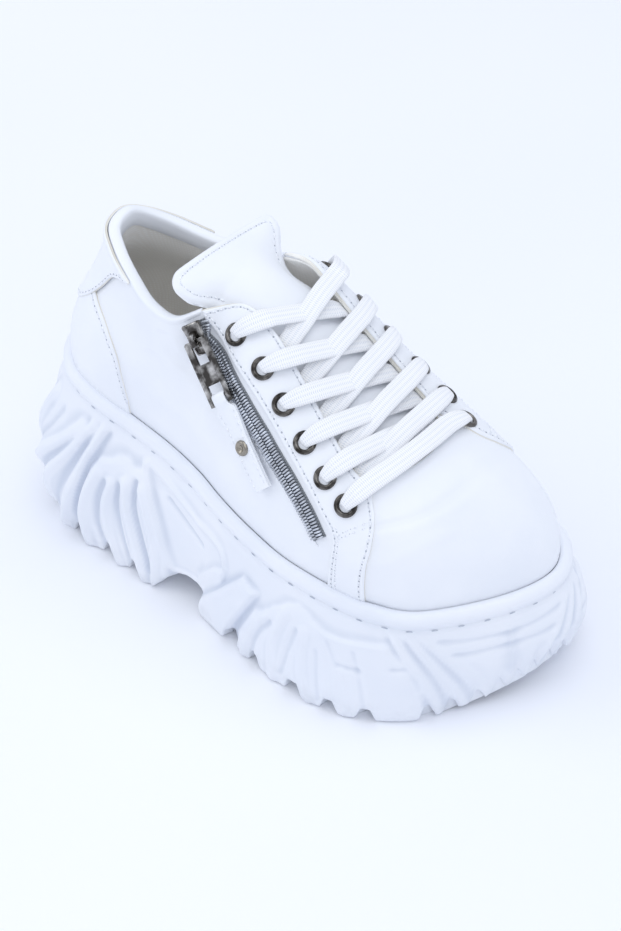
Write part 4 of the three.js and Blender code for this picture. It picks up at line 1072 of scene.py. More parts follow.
def panel(name, rows, thick, lift=0.0):
    """A leather overlay with crisp rounded edges that lies on the upper between two rails."""
    rails = curve_through(rows, 10)
    inner, outer = worn(rails[:, 0], rails[:, 1]), worn(rails[:, 2], rails[:, 3])
    length = np.linalg.norm(np.diff((inner + outer) / 2, axis=0), axis=1).sum()
    at = np.linspace(0, 1, len(rails))
    k = np.concatenate([[0, 0, 0.5 / length], np.linspace(1.2 / length, 1 - 1.2 / length, int(length / 1.4)),
                        [1 - 0.5 / length, 1, 1]])
    end = np.array([0, 0.6, 0.92] + [1] * (len(k) - 6) + [0.92, 0.6, 0])
    rails = np.stack([np.interp(k, at, rails[:, c]) for c in range(4)], 1)
    inner, outer = worn(rails[:, 0], rails[:, 1]), worn(rails[:, 2], rails[:, 3])
    width = np.maximum(np.linalg.norm(inner - outer, axis=1), 3.0)[:, None]
    inset = np.array([0, 0, 0.35, 0.9, 1.6, 2.2, 2.8])[None] / width
    inset = np.minimum(inset, 0.45)
    middle = np.linspace(0, 1, 24)[None] * (1 - 2 * inset[:, -1:]) + inset[:, -1:]
    c = np.concatenate([inset[:, :-1], middle, 1 - inset[:, -2::-1]], 1)
    rise = np.array([0, 0.6, 0.92, 1, 1, 1 - 0.16 / thick, 1.0])
    profile = np.concatenate([rise[:-1], np.ones(24), rise[-2::-1]])[None]
    height = -0.35 + lift + (thick + 0.35) * profile * end[:, None]
    t = rails[:, 0:1] * (1 - c) + rails[:, 2:3] * c
    s = rails[:, 1:2] * (1 - c) + rails[:, 3:4] * c
    top_face = worn(t, s, 0.0) + skin_normal(t, s) * height[..., None]
    under = worn(t[:, ::-1], s[:, ::-1], -0.35 + lift)
    columns = top_face.shape[1]
    # the panel's sides and ends take the cut-edge finish, whose darker tone paints the shadow line at its
    # edge
    second = np.zeros((len(t) - 1, 2 * columns), bool)
    second[:, [0, columns - 2]] = True
    second[[0, -1], :] = True
    obj = grid_piece(name, np.concatenate([top_face, under], 1), close_v=True, second=second)
    tidy_mesh(obj)
    smooth_shade(obj, 45)
    return obj


# ---------------------------------------------------------------- seams


def seam_points(path, pitch):
    """Stitch places along a path of (place, height), with their directions, at an even pitch."""
    path = curve_through(path, 10)
    fine = np.stack([np.interp(np.linspace(0, 1, 600), np.linspace(0, 1, len(path)), path[:, c])
                     for c in range(2)], 1)
    p = skin(fine[:, 0], fine[:, 1])
    run = np.concatenate([[0], np.cumsum(np.linalg.norm(np.diff(p, axis=0), axis=1))])
    count = max(2, int(run[-1] / pitch))
    at = (np.arange(count) + 0.5) * run[-1] / count
    return np.stack([np.interp(at, run, fine[:, c]) for c in range(2)], 1)


def thread_places(places, z, sink=0.0):
    """Where a seam's stitches lie, and the needle holes halfway between them."""
    x = unit(np.gradient(places, axis=0))
    y = unit(np.cross(z, x))
    x = np.cross(y, z)
    ends = (places[1:] + places[:-1]) / 2
    return ([basis(x[i], y[i], z[i], places[i]) for i in range(len(places))],
            [basis(x[i], y[i], z[i], ends[i] - z[i] * sink) for i in range(len(ends))])


def seam_matrices(path, pitch, lift):
    ts = seam_points(path, pitch)
    here = worn(ts[:, 0], ts[:, 1], lift)
    z = skin_normal(ts[:, 0], ts[:, 1])
    return thread_places(here, z)


def inset_rail(rows, side, distance):
    """A line inside a panel, at a distance from its inner or outer edge."""
    line = []
    for t_in, s_in, t_out, s_out in rows:
        gap = float(np.linalg.norm(skin(t_in, s_in) - skin(t_out, s_out)))
        k = min(distance / max(gap, 0.1), 0.5)
        k = k if side == "inner" else 1 - k
        line.append((t_in + (t_out - t_in) * k, s_in + (s_out - s_in) * k))
    return line


def stitch_master(length):
    """One stitch: a short thread with its two ends drawn into the leather."""
    clear_selection()
    bpy.ops.mesh.primitive_cylinder_add(vertices=6, radius=0.00038, depth=length * 0.001,
                                        rotation=(0, math.pi / 2, 0), end_fill_type="TRIFAN")
    obj = bpy.context.object
    bpy.ops.object.transform_apply(location=True, rotation=True, scale=True)
    bpy.ops.object.mode_set(mode="EDIT")
    bpy.ops.mesh.select_all(action="SELECT")
    bpy.ops.mesh.subdivide(number_cuts=1)
    bpy.ops.object.mode_set(mode="OBJECT")
    for vertex in obj.data.vertices:
        x = vertex.co.x / (length * 0.0005)
        vertex.co.y *= 1 - 0.5 * x * x
        vertex.co.z = vertex.co.z * (1 - 0.5 * x * x) + 0.00022 * (1 - 2 * x * x)
    smooth_shade(obj)
    return obj


SLOT_PITCH, SLOT_LENGTH = 11.7, 3.0


def rim_slots():
    """Places of the short slots in the groove under the sole's rim, where dark discs paint the shadow in
    them.
    """
    found = []
    total = OUTLINE_RUN[-1]
    count = int(total / SLOT_PITCH)
    for k in range(count):
        t = float(np.interp((k + 0.5) * total / count, OUTLINE_RUN, OUTLINE_T))
        p, beside = (rim(v) + outward(v) * (BEAD - 1.65) - np.array([0, 0, 8.1]) for v in (t, t + 0.05))
        x, z = unit(beside - p), outward(t)
        found.append(basis(x, np.cross(z, x), z, p))
    return found


# a flattened dark disc: painted shadow in a needle hole or a slot
def hole_shadow_master():
    clear_selection()
    bpy.ops.mesh.primitive_uv_sphere_add(segments=8, ring_count=4, radius=0.00045)
    obj = bpy.context.object
    bpy.ops.transform.resize(value=(1, 1, 0.35))
    bpy.ops.object.transform_apply(location=True, rotation=True, scale=True)
    smooth_shade(obj)
    return obj


# ---------------------------------------------------------------- tongue and insole


TONGUE_RAISE = 1.2  # padding above the tongue's middle face
TONGUE_SEAM = 4.0  # from the tongue's edge to its seam
HOLE_SINK = 0.1  # of the needle holes into the tongue's leather


def tongue_row(k):
    return spline_open(TONGUE, np.asarray(k, float))


def spline_open(table, k):
    """Rows of an open table at fractional places, on a smooth curve through them."""
    last = len(table) - 1
    k = np.clip(k, 0, last)
    i = np.minimum(np.floor(k).astype(int), last - 1)
    f = (k - i)[..., None]
    a, b, c, d = (table[np.clip(i + j, 0, last)] for j in (-1, 0, 1, 2))
    return between(a, b, c, d, f)


def tongue_spread(k, u):
    """How much wider than its table the tongue is at row k, on the side that u points to."""
    lateral = 1.15 + 0.12 * smooth(0, 1.7, k) - 0.27 * smooth(1.7, 2.6, k)
    medial = 1.2 - 0.2 * smooth(1.0, 2.8, k)
    return np.where(u < 0, lateral, medial) + 0.07 * smooth(3, 4.5, k)


def tongue_point(k, u, depth=0.0):
    """A point of the tongue at row k and share u of its half width, a depth below its top face."""
    k, u, depth = np.broadcast_arrays(np.asarray(k, float), np.asarray(u, float), np.asarray(depth, float))
    row = tongue_row(k)
    ahead = tongue_row(k + 0.1) - tongue_row(k - 0.1)
    slope = unit(np.stack([ahead[..., 0], 0 * ahead[..., 0], ahead[..., 2]], -1))
    down = np.stack([slope[..., 2], 0 * u, -slope[..., 0]], -1)
    drop = row[..., 4] * (0.4 + 0.76 * smooth(0.4, 3.4, k)) * np.abs(u) ** 2.2
    p = np.stack([row[..., 0], row[..., 1] + u * row[..., 3] * tongue_spread(k, u), row[..., 2] - drop], -1)
    return p + down * (depth * (1 - 0.55 * u**4))[..., None]


def tongue_top(k, from_edge, thick):
    """Depth of the tongue's top face: a rolled edge, a groove under the seam and padding inside."""
    pad = smooth(0.0, 1.4, from_edge)
    seam = np.exp(-(((from_edge - TONGUE_SEAM) / 0.9) ** 2))
    crown = 0.35 * smooth(5, 14, from_edge) + TONGUE_RAISE * smooth(0, 8, from_edge) * smooth(1.2, 3.5, k)
    return thick * 0.5 * (1 - pad) + 0.55 * seam - crown + 0.3


def tongue_height(x, y):
    """Height of the tongue's top face over a point of the plan."""
    k = np.linspace(0, len(TONGUE) - 1, 200)
    rows = tongue_row(k)
    order = np.argsort(rows[:, 0])
    middle, half, drop, shift = (np.interp(x, rows[order, 0], rows[order, c]) for c in (2, 3, 4, 1))
    return middle - drop * np.minimum(np.abs((y - shift) / half), 1.1) ** 2.2


def build_tongue():
    rows = len(TONGUE) - 1
    k = np.concatenate([np.linspace(0, 2.8, 76), np.linspace(2.8, rows, 70)[1:]])[:, None]
    row = tongue_row(k[:, 0])
    along = np.concatenate([[0], np.cumsum(np.linalg.norm(np.diff(row[:, :3], axis=0), axis=1))])
    angle = np.linspace(0, math.pi, 49)[None]
    corner = np.where(np.cos(angle) < 0, 8.0, 3.6)  # round outside, tight inside
    from_end = np.minimum(along, along[-1] - along)[:, None]
    turn = np.clip(1 - from_end / corner, 0, 1)
    narrow = 1 - (corner / row[:, 3:4]) * (1 - np.sqrt(1 - turn**2))
    u = np.cos(angle) * narrow
    thick = row[:, 5:6]
    from_edge = np.minimum((1 - np.abs(np.cos(angle))) * row[:, 3:4] * tongue_spread(k, u), from_end)
    under_depth = thick * (0.5 + 0.45 * smooth(0.0, 1.4, from_edge))
    under_depth = under_depth - 0.3 * np.exp(-(((from_edge - TONGUE_SEAM) / 0.9) ** 2))
    top_face = tongue_point(k, u, tongue_top(k, from_edge, thick))
    under = tongue_point(k, u[:, ::-1], under_depth[:, ::-1])
    obj = grid_piece("padded_tongue", capped(np.concatenate([top_face, under[:, 1:-1]], 1)), close_v=True)
    tidy_mesh(obj)
    smooth_shade(obj)
    return obj


def tongue_seam(pitch):
    """Stitch places around the tongue's free end."""
    inset = TONGUE_SEAM
    first_step = np.linalg.norm(tongue_row(1.0)[:3] - tongue_row(0.0)[:3])
    path = []
    for side in (1, -1):
        half = [(k, float(tongue_row(k)[3] * tongue_spread(k, side))) for k in (2.6, 2.2, 1.8, 1.4, 1.0)]
        line = [(k, side * (1 - inset / wide)) for k, wide in half]
        k_in, wide = inset / first_step, half[-1][1]
        round_by = 2.6 if side < 0 else 1.6
        line += [(k_in * 1.3, side * (1 - inset * 0.5 * (1.1 + round_by * 0.5) / wide)),
                 (k_in * 1.04, side * (1 - inset * round_by / wide)), (k_in, side * 0.5)]
        path += line if side == 1 else line[::-1]
    path = curve_through(path, 14)
    depth = tongue_top(path[:, 0], inset, tongue_row(path[:, 0])[:, 5]) - 0.12
    p = tongue_point(path[:, 0], path[:, 1], depth)
    places = resample(p, step=pitch)
    uv = resample(np.concatenate([p, path], 1), step=pitch)[:, 3:]
    across = tongue_point(uv[:, 0], uv[:, 1] + 0.02) - tongue_point(uv[:, 0], uv[:, 1] - 0.02)
    ahead = tongue_point(uv[:, 0] + 0.05, uv[:, 1]) - tongue_point(uv[:, 0] - 0.05, uv[:, 1])
    z = unit(np.cross(ahead, across))
    z = z * np.sign(z[:, 2:3])
    return thread_places(places, z, HOLE_SINK)


def build_insole():
    t = np.linspace(0, ROWS / 2, 90)[:, None]
    ring = []
    inset = 2.6
    for side in (1, -1):
        place = t if side == 1 else np.mod(ROWS - t, ROWS)
        p = rim(place) - outward(place) * inset
        ring.append(p)
    lateral, medial = ring
    across = np.linspace(0, 1, 25)[None, :, None]
    dish = 1.4 * (np.abs(2 * across[..., 0] - 1) ** 3)
    top_face = medial * (1 - across) + lateral * across
    top_face[..., 2] = seat(top_face[..., 0]) + INSOLE_THICK + 0.6 + dish
    under = top_face[:, ::-1].copy()
    under[..., 2] = seat(under[..., 0]) + 0.5
    obj = grid_piece("insole_sock", capped(np.concatenate([top_face, under], 1)), close_v=True)
    tidy_mesh(obj)
    smooth_shade(obj, 50)
    return obj


# ---------------------------------------------------------------- eyelets and lace


def up_from_edge(t, distance):
    s = np.linspace(0, 1, 401)
    away = np.linalg.norm(skin(t, s) - edge(t), axis=-1)
    return float(s[np.nonzero(away >= distance)[0][-1]])


def eyelet_places():
    """Each eyelet: its middle, the way out of the leather, towards the toe and into the throat."""
    found = {}
    for side, places in EYELET_ROWS.items():
        for number, t in enumerate(places, 1):
            s = up_from_edge(t, EYELET_INSET)
            at = skin(t, s)
            z = skin_normal(t, s)
            sign = 1 if side == "lateral" else -1
            x = unit((skin(t + 0.1, s) - skin(t - 0.1, s)) * sign)
            y = unit(np.cross(z, x))
            x = np.cross(y, z)
            inward = unit(edge(t) - at)
            found[side[0].upper() + str(number)] = {
                "at": at, "z": z, "x": x, "y": y, "inward": inward, "edge": edge(t),
                "node": f"eyelet_{side}_{number}", "name": f"rolled_eyelet_{side}_{number}"}
    return found


def turned(name, profile, sides, closed=True):
    """A ring or disc turned about Z: a circle that is extruded and resized from ring to ring."""
    clear_selection()
    radius, height = profile[0]
    bpy.ops.mesh.primitive_circle_add(vertices=sides, radius=radius * 0.001, location=(0, 0, height * 0.001))
    obj = bpy.context.object
    obj.name = obj.data.name = name
    bpy.ops.object.mode_set(mode="EDIT")
    bpy.ops.mesh.select_all(action="SELECT")
    steps = list(profile[1:]) + ([profile[0]] if closed else [])
    for next_radius, next_height in steps:
        bpy.ops.mesh.extrude_region_move(
            TRANSFORM_OT_translate={"value": (0, 0, (next_height - height) * 0.001)})
        grow = next_radius / radius
        bpy.ops.transform.resize(value=(grow, grow, 1), center_override=(0, 0, next_height * 0.001))
        radius, height = next_radius, next_height
    bpy.ops.object.mode_set(mode="OBJECT")
    bpy.ops.object.transform_apply(location=True, rotation=True, scale=True)
    tidy_mesh(obj, 0.000005)
    return obj


def placed(obj, matrix):
    """Puts a finished piece at its place, in its mesh."""
    obj.data.transform(matrix)
    obj.data.update()
    return obj


def build_eyelets():
    sizes = bpy.context.scene.sneaker_sizes
    flange, hole = mm(sizes.eyelet_flange) / 2, mm(sizes.eyelet_hole) / 2
    profile = [
        (hole, -2.4), (hole, 1.3), (hole + 0.12, 2.0), (hole + 0.45, 2.5), (hole + 0.95, 2.7),
        (flange - 0.75, 2.6), (flange - 0.25, 2.3), (flange, 1.85), (flange - 0.1, 1.2),
        (flange - 0.6, 1.0), (hole + 0.6, 0.9), (hole + 0.5, -2.4),
    ]
    master = turned("eyelet", profile, 40)
    smooth_shade(master, 40)
    made = []
    for place in eyelet_places().values():
        obj = placed(duplicate(master), basis(place["x"], place["y"], place["z"], place["at"]))
        obj.name = obj.data.name = place["name"]
        made.append((obj, place["node"]))
    bpy.data.objects.remove(master)
    return made


def duplicate(obj):
    copy = obj.copy()
    copy.data = obj.data.copy()
    bpy.context.collection.objects.link(copy)
    return copy


# The order in which the lace passes the eyelets; every pass comes up through the leather.
LACE_RUNS = [
    ("M1", "L2"), ("L2", "M3"), ("M3", "L4"), ("L4", "M5"), ("M5", "L6"),
]
LACE_RUNS_BACK = [
    ("L1", "M2"), ("M2", "L3"), ("L3", "M4"), ("M4", "L5"), ("L5", "M6"),
]


def leaving(a, target):
    """Rows of lace up out of an eyelet and over its stay towards a target, to the stay's edge."""
    way = target - a["at"]
    way = unit(way - a["z"] * np.dot(way, a["z"]))
    to_edge = float(np.dot(a["edge"] - a["at"], a["inward"]) / max(np.dot(way, a["inward"]), 0.5))
    edge_point = a["at"] + way * to_edge
    edge_point = edge_point + a["z"] * (np.dot(a["edge"] - edge_point, a["z"]) + 3.2)
    half_way = (a["at"] + edge_point) / 2
    half_way = half_way + a["z"] * (np.dot(a["at"] - half_way, a["z"]) + 4.1)
    rows = [
        (*(a["at"] + a["z"] * 0.4), 5.0, 2.4),
        (*(a["at"] + a["z"] * 3.3 + way * 1.0), 5.6, 2.2),
        (*half_way, 8.0, 1.6),
        (*edge_point, 8.8, 1.5),
    ]
    return rows, edge_point


def strand(places, start, end, over):
    """Control points of one lace strand: out of one eyelet, over the stay, across, under the other stay."""
    a, b = places[start], places[end]
    up = unit(a["z"] + b["z"])
    far = b["edge"] - b["z"] * 2.0 + b["inward"] * 2.5
    rows, edge_point = leaving(a, far)
    shares = np.linspace(0, 1, 9)[1:-1]
    chord = edge_point + (far - edge_point) * shares[:, None]
    short = tongue_height(chord[:, 0], chord[:, 1]) + TONGUE_RAISE + 1.4 - chord[:, 2]
    needs = list((short / (4 * shares * (1 - shares)))[:5])
    lift = 4 * shares * (1 - shares) * max(0.8, *needs)
    if over:
        lift = lift + 1.9 * np.exp(-(((shares - 0.42) / 0.22) ** 2))
    rows += [(*(p + up * h), 8.9, 1.5) for p, h in zip(chord, lift)]
    rows += [
        (*far, 8.6, 1.4),
        (*(b["at"] - b["z"] * 3.4 + b["inward"] * 4.5), 7.2, 1.5),
        (*(b["at"] - b["z"] * 2.8 + b["inward"] * 1.0), 5.4, 2.0),
    ]
    return rows


def lace_rows():
    places = eyelet_places()
    rows = []
    first = places["M1"]
    rows.append((*(first["at"] - first["z"] * 5 - first["inward"] * 8), 6.5, 1.5))
    rows.append((*(first["at"] - first["z"] * 3.4 - first["inward"] * 2), 5.6, 1.8))
    for start, end in LACE_RUNS:
        rows += strand(places, start, end, start[0] == "M")
    a, b = places["L6"], places["M6"]
    up = unit(a["z"] + b["z"])
    out, left = leaving(a, b["at"])
    back, right = leaving(b, a["at"])
    rows += out
    for share in (0.25, 0.5, 0.75):
        arch = 4 * share * (1 - share)
        rows.append((*(left + (right - left) * share + up * 2.6 * arch + np.array([1.6 * arch, 0, 0])),
                     8.8, 1.5))
    rows += back[:0:-1]
    back = []
    for start, end in LACE_RUNS_BACK:
        back += strand(places, start, end, start[0] == "M")
    back.append((*(b["at"] + b["z"] * 0.2), 5.0, 2.4))
    rows += back[::-1]
    last = places["L1"]
    rows.append((*(last["at"] - last["z"] * 3.4 - last["inward"] * 2), 5.6, 1.8))
    rows.append((*(last["at"] - last["z"] * 5 - last["inward"] * 8), 6.5, 1.5))
    return np.array(rows)


def build_lace():
    rows = curve_through(lace_rows(), 14)
    rows = resample(rows, step=0.9)
    path, widths, thick = rows[:, :3], rows[:, 3], rows[:, 4]
    k = np.linspace(0, len(TONGUE) - 1, 200)
    mid = tongue_row(k)
    order = np.argsort(mid[:, 0])
    slope = np.gradient(mid[order, 2], mid[order, 0])
    forward = np.stack([np.ones(len(path)), np.zeros(len(path)),
                        np.interp(path[:, 0], mid[order, 0], slope)], 1)
    angle = np.linspace(0, 2 * math.pi, 16, endpoint=False)
    profile = np.stack([np.sign(np.cos(angle)) * np.abs(np.cos(angle)) ** 0.55,
                        np.sign(np.sin(angle)) * np.abs(np.sin(angle)) ** 0.75], 1)
    points = ribbon_points(path, unit(forward), widths, thick, profile)
    length = np.linalg.norm(np.diff(path, axis=0), axis=1).sum()
    obj = grid_piece("woven_lace", capped(points), close_v=True)
    tidy_mesh(obj)
    smooth_shade(obj)
    return obj, length


# ---------------------------------------------------------------- zip


def zip_path(count):
    """Points along the zip's middle line on the upper, with their normals."""
    line = curve_through(ZIP_LINE, 20)
    p = skin(line[:, 0], line[:, 1])
    both = resample(np.concatenate([p, line], 1), count)
    ts = both[:, 3:]
    return ts, skin(ts[:, 0], ts[:, 1]), skin_normal(ts[:, 0], ts[:, 1])


def band_on_skin(name, ts, offset, width, low, high):
    """A flat strip that follows a line on the upper, a given distance to one side of it."""
    here, z = skin(ts[:, 0], ts[:, 1]), skin_normal(ts[:, 0], ts[:, 1])
    x = unit(np.gradient(here, axis=0))
    y = unit(np.cross(z, x))
    middle = here + y * np.asarray(offset)[..., None] if np.ndim(offset) else here + y * offset
    corner = [(-1, low), (-1, high - 0.15), (-0.93, high), (0, high), (0.93, high), (1, high - 0.15),
              (1, low)]
    rings = np.stack([middle + y * (a * width / 2) + z * h for a, h in corner], 1)
    obj = grid_piece(name, capped(rings), close_v=True)
    tidy_mesh(obj)
    smooth_shade(obj, 40)
    return obj


def build_zip_teeth():
    sizes = bpy.context.scene.sneaker_sizes
    clear_selection()
    bpy.ops.mesh.primitive_cube_add(size=1)
    tooth = bpy.context.object
    bpy.ops.object.mode_set(mode="EDIT")
    bpy.ops.mesh.select_all(action="SELECT")
    bpy.ops.transform.resize(value=(0.00084, 0.0032, 0.0019))
    bpy.ops.mesh.bevel(offset=0.00022, segments=1)
    bpy.ops.object.mode_set(mode="OBJECT")
    smooth_shade(tooth, 35)
    _, here, z = zip_path(4000)
    run = np.concatenate([[0], np.cumsum(np.linalg.norm(np.diff(here, axis=0), axis=1))])
    x = unit(np.gradient(here, axis=0))
    y = unit(np.cross(z, x))
    pitch = mm(sizes.tooth_pitch)
    count = int(run[-1] / pitch)
    matrices = []
    for k in range(count):
        for side in (-1, 1):
            at = (k + 0.5 + 0.25 * side) * pitch
            i = int(np.searchsorted(run, at))
            i = min(i, len(here) - 1)
            open_by = 2.2 * (1 - float(smooth(2, 10, run[i])))
            centre = here[i] + y[i] * side * (1.72 + open_by) + z[i] * 1.3
            matrices.append(basis(x[i], y[i], z[i], centre))
    return copies("zip_teeth", tooth, matrices)


SLIDER_LIFT = 3.7
BAIL_HOLE = 3.4
PULL_TIP = 0.14  # how far the pull lies down on the leather, in radians
PULL_PLAY = 0.1  # its turn in the bail, toward the zip


def turned_about(vector, axis, angle):
    return np.array(Matrix.Rotation(angle, 3, Vector(axis)) @ Vector(vector))


def slider_axes():
    """The slider's frame: down the zip, across it, out of the leather, and its underside's middle."""
    low, high = (np.array(c) * 1000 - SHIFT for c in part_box("zip_slider"))
    _, here, z = zip_path(400)
    i = int(np.argmin(np.linalg.norm(here + z * (SLIDER_LIFT + 3) - (low + high) / 2, axis=1)))
    x = unit(here[i + 1] - here[i - 1])
    y = unit(np.cross(z[i], x))
    return np.cross(y, z[i]), y, z[i], here[i] + z[i] * SLIDER_LIFT


def pull_axes():
    """The pull's frame: down the plate, along the joint's axis, out, and the joint's place."""
    joint = frame["joints"][0]
    y = -unit(joint["axis"])
    _, _, z, _ = slider_axes()
    x = turned_about(unit(np.cross(y, z)), y, -PULL_TIP)
    z = np.cross(x, y)
    x, y = turned_about(x, z, PULL_PLAY), turned_about(y, z, PULL_PLAY)
    return x, y, z, np.array(joint["pos_m"]) * 1000 - SHIFT


def block(name, size, centre, bevel=0.0, segments=2):
    """A block of a size in millimetres with rounded edges, in a piece's own axes."""
    clear_selection()
    bpy.ops.mesh.primitive_cube_add(size=1)
    obj = bpy.context.object
    obj.name = obj.data.name = name
    bpy.ops.object.mode_set(mode="EDIT")
    bpy.ops.mesh.select_all(action="SELECT")
    bpy.ops.transform.resize(value=[v * 0.001 for v in size])
    bpy.ops.transform.translate(value=[v * 0.001 for v in centre])
    if bevel:
        bpy.ops.mesh.bevel(offset=bevel * 0.001, segments=segments)
    bpy.ops.object.mode_set(mode="OBJECT")
    return obj


def cut(obj, cutter):
    apply_modifier(obj, "BOOLEAN", operation="DIFFERENCE", object=cutter, solver="EXACT")
    bpy.data.objects.remove(cutter)


def rounded(obj, width, segments=2, degrees=35):
    apply_modifier(obj, "BEVEL", width=width * 0.001, segments=segments, limit_method="ANGLE",
                   angle_limit=math.radians(degrees), use_clamp_overlap=True)


def rod(radius, length, centre, sides=20):
    """A rod along Y, in millimetres."""
    clear_selection()
    bpy.ops.mesh.primitive_cylinder_add(vertices=sides, radius=radius * 0.001, depth=length * 0.001,
                                        rotation=(math.pi / 2, 0, 0))
    obj = bpy.context.object
    bpy.ops.object.transform_apply(location=True, rotation=True, scale=True)
    bpy.ops.object.mode_set(mode="EDIT")
    bpy.ops.mesh.select_all(action="SELECT")
    bpy.ops.transform.translate(value=[v * 0.001 for v in centre])
    bpy.ops.object.mode_set(mode="OBJECT")
    return obj


SLIDER_BODY = (14, 9, 2.6)  # along the zip, across it, high
SLIDER_TAPER = 0.66  # of the width, at the slider's nose and the bail's top
BAIL_BODY = (7.6, 2.4, 4.4)
BAIL_CENTRE = 4.7  # height of the bail's middle over the slider's foot
BAIL_BORE = 1.75
PIN_FROM_END = 3
RIVET_AT = 23  # from the pin to the rivet
STRAP_WIDTH, STRAP_PLY = 9.6, 1.05
STRAP_BEND = 3.0  # how far the strap's end is off the plate's line
STRAP_HEIGHT = 2.9  # of the strap's middle over the leather


def build_slider():
    x, y, z, at = slider_axes()
    body = block("slider_body", SLIDER_BODY, (0, 0, SLIDER_BODY[2] / 2))
    for vertex in body.data.vertices:
        if vertex.co.x > 0:
            vertex.co.y *= SLIDER_TAPER
    rounded(body, 0.9, 3)
    bail = block("bail", BAIL_BODY, (0, 0, BAIL_CENTRE))
    for vertex in bail.data.vertices:
        if vertex.co.z > 0.005:
            vertex.co.x *= SLIDER_TAPER
    cut(bail, rod(BAIL_BORE, 6, (0, 0, SLIDER_BODY[2] + 0.1 + BAIL_HOLE / 2)))
    rounded(bail, 0.35, 2)
    body = joined("zip_slider_body", [body, bail])
    placed(body, basis(x, y, z, at))
    smooth_shade(body, 40)
    return body


def build_plate():
    sizes = bpy.context.scene.sneaker_sizes
    length, width, thick = mm(sizes.plate_length), mm(sizes.plate_width), mm(sizes.plate_thick)
    x, y, z, at = pull_axes()
    plate = block("zip_pull_plate", (length + thick / 2, width, thick), (length / 2 - thick / 4, 0, 0))
    make_active(plate)
    cut(plate, block("window", (9.2, 5.4, 6), (thick / 2 + 4.6, 0, 0)))
    cut(plate, block("fork", (9.2, width - 4.4, 6), (length - 4.2, 0, 0)))
    for side in (-1, 1):
        corner = block("corner", (5, 5, 6), (0, 0, 0))
        corner.data.transform(Matrix.Rotation(math.radians(45), 4, "Z"))
        corner.data.transform(Matrix.Translation((-0.0022, side * (width / 2 + 1.2) * 0.001, 0)))
        cut(plate, corner)
    recess = block("recess", (7.4, width - 4.2, 1), (thick / 2 + 14.2, 0, thick / 2 + 0.15))
    cut(plate, recess)
    rounded(plate, 0.3, 2)
    pin = rod(0.85, width - 1.6, (length - PIN_FROM_END, 0, 0), 16)
    obj = joined("zip_pull_plate", [plate, pin])
    placed(obj, basis(x, y, z, at))
    smooth_shade(obj, 40)
    return obj


def strap_axes(q):
    """The strap's middle, its way along, across and out, at distances from the hinge.

    It leaves the pin in the plate's plane, bends toward the zip and comes to lie along the leather.
    """
    sizes = bpy.context.scene.sneaker_sizes
    start, length = mm(sizes.plate_length) - PIN_FROM_END, mm(sizes.strap_length)
    x, y, z, at = pull_axes()
    stations = np.linspace(start - 3, start + length + 1, 40)
    share = np.clip((stations - start) / length, 0, 1)
    middle = at + x * stations[:, None] + y * (STRAP_BEND * share**1.3)[:, None]
    t, up = np.meshgrid(np.linspace(5.5, 11, 221), np.linspace(0.1, 1, 181), indexing="ij")
    leather, normal = skin(t, up).reshape(-1, 3), skin_normal(t, up).reshape(-1, 3)
    nearest = [int(np.argmin(np.linalg.norm(leather - p, axis=1))) for p in middle]
    height = np.sum((middle - leather[nearest]) * normal[nearest], 1)
    lie = smooth(start + 3, start + 20, stations)[:, None]
    middle = middle + normal[nearest] * (STRAP_HEIGHT - height)[:, None] * lie
    out = unit(z * (1 - lie) + normal[nearest] * lie)
    rows = np.stack([np.interp(q, stations, column) for column in np.concatenate([middle, out], 1).T], -1)
    ahead = np.stack([np.interp(q, stations, column) for column in np.gradient(middle, axis=0).T], -1)
    ahead = unit(ahead)
    across = unit(np.cross(rows[..., 3:], ahead))
    return rows[..., :3], ahead, across, np.cross(ahead, across)


def build_strap():
    """A strip of leather folded round the pin, its two plies sewn and riveted together."""
    sizes = bpy.context.scene.sneaker_sizes
    start = mm(sizes.plate_length) - PIN_FROM_END
    end = start + mm(sizes.strap_length)
    ring, ply = 1.15, STRAP_PLY
    route = [(end, ply / 2 + 0.04), (start + 20, ply / 2 + 0.04), (start + 8, ply / 2 + 0.05),
             (start + 4.5, 0.9), (start + 2.2, ring + ply / 2)]
    route += [(start + (ring + ply / 2) * math.cos(a), (ring + ply / 2) * math.sin(a))
              for a in np.radians((65, 100, 140, 180, 220, 260, 295))]
    route += [(q, -w) for q, w in route[4::-1]]
    path = resample(curve_through(np.array(route), 8), step=0.8)
    widths = np.interp(path[:, 0], [start + 3.5, start + 6.0], [6.0, STRAP_WIDTH])
    local = np.stack([path[:, 0], 0 * path[:, 0], path[:, 1]], 1)
    profile = [(-1, -0.5), (-1, 0.5), (-0.95, 0.9), (-0.8, 1), (-0.72, 0.8), (-0.64, 1), (0, 1), (0.64, 1),
               (0.72, 0.8), (0.8, 1), (0.95, 0.9), (1, 0.5), (1, -0.5), (0.9, -1), (0, -1), (-0.9, -1)]
    points = ribbon_points(local, np.tile([0.0, 1.0, 0.0], (len(local), 1)), widths, ply, profile)
    middle, _, across, out = strap_axes(points[..., 0])
    world = middle + across * points[..., 1:2] + out * points[..., 2:3]
    obj = grid_piece("pull_strap_leather", capped(world), close_v=True)
    tidy_mesh(obj)
    smooth_shade(obj, 45)
    seams = []
    middle, ahead, across, out = strap_axes(np.arange(start + 7.5, end - 1.5, 2.9))
    for side in (-1, 1):
        for face in (-1, 1):
            places = middle + across * side * 3.45 + out * face * (ply + 0.02)
            seams += [basis(x, y * face, z * face, p) for x, y, z, p in zip(ahead, across, out, places)]
    return obj, seams


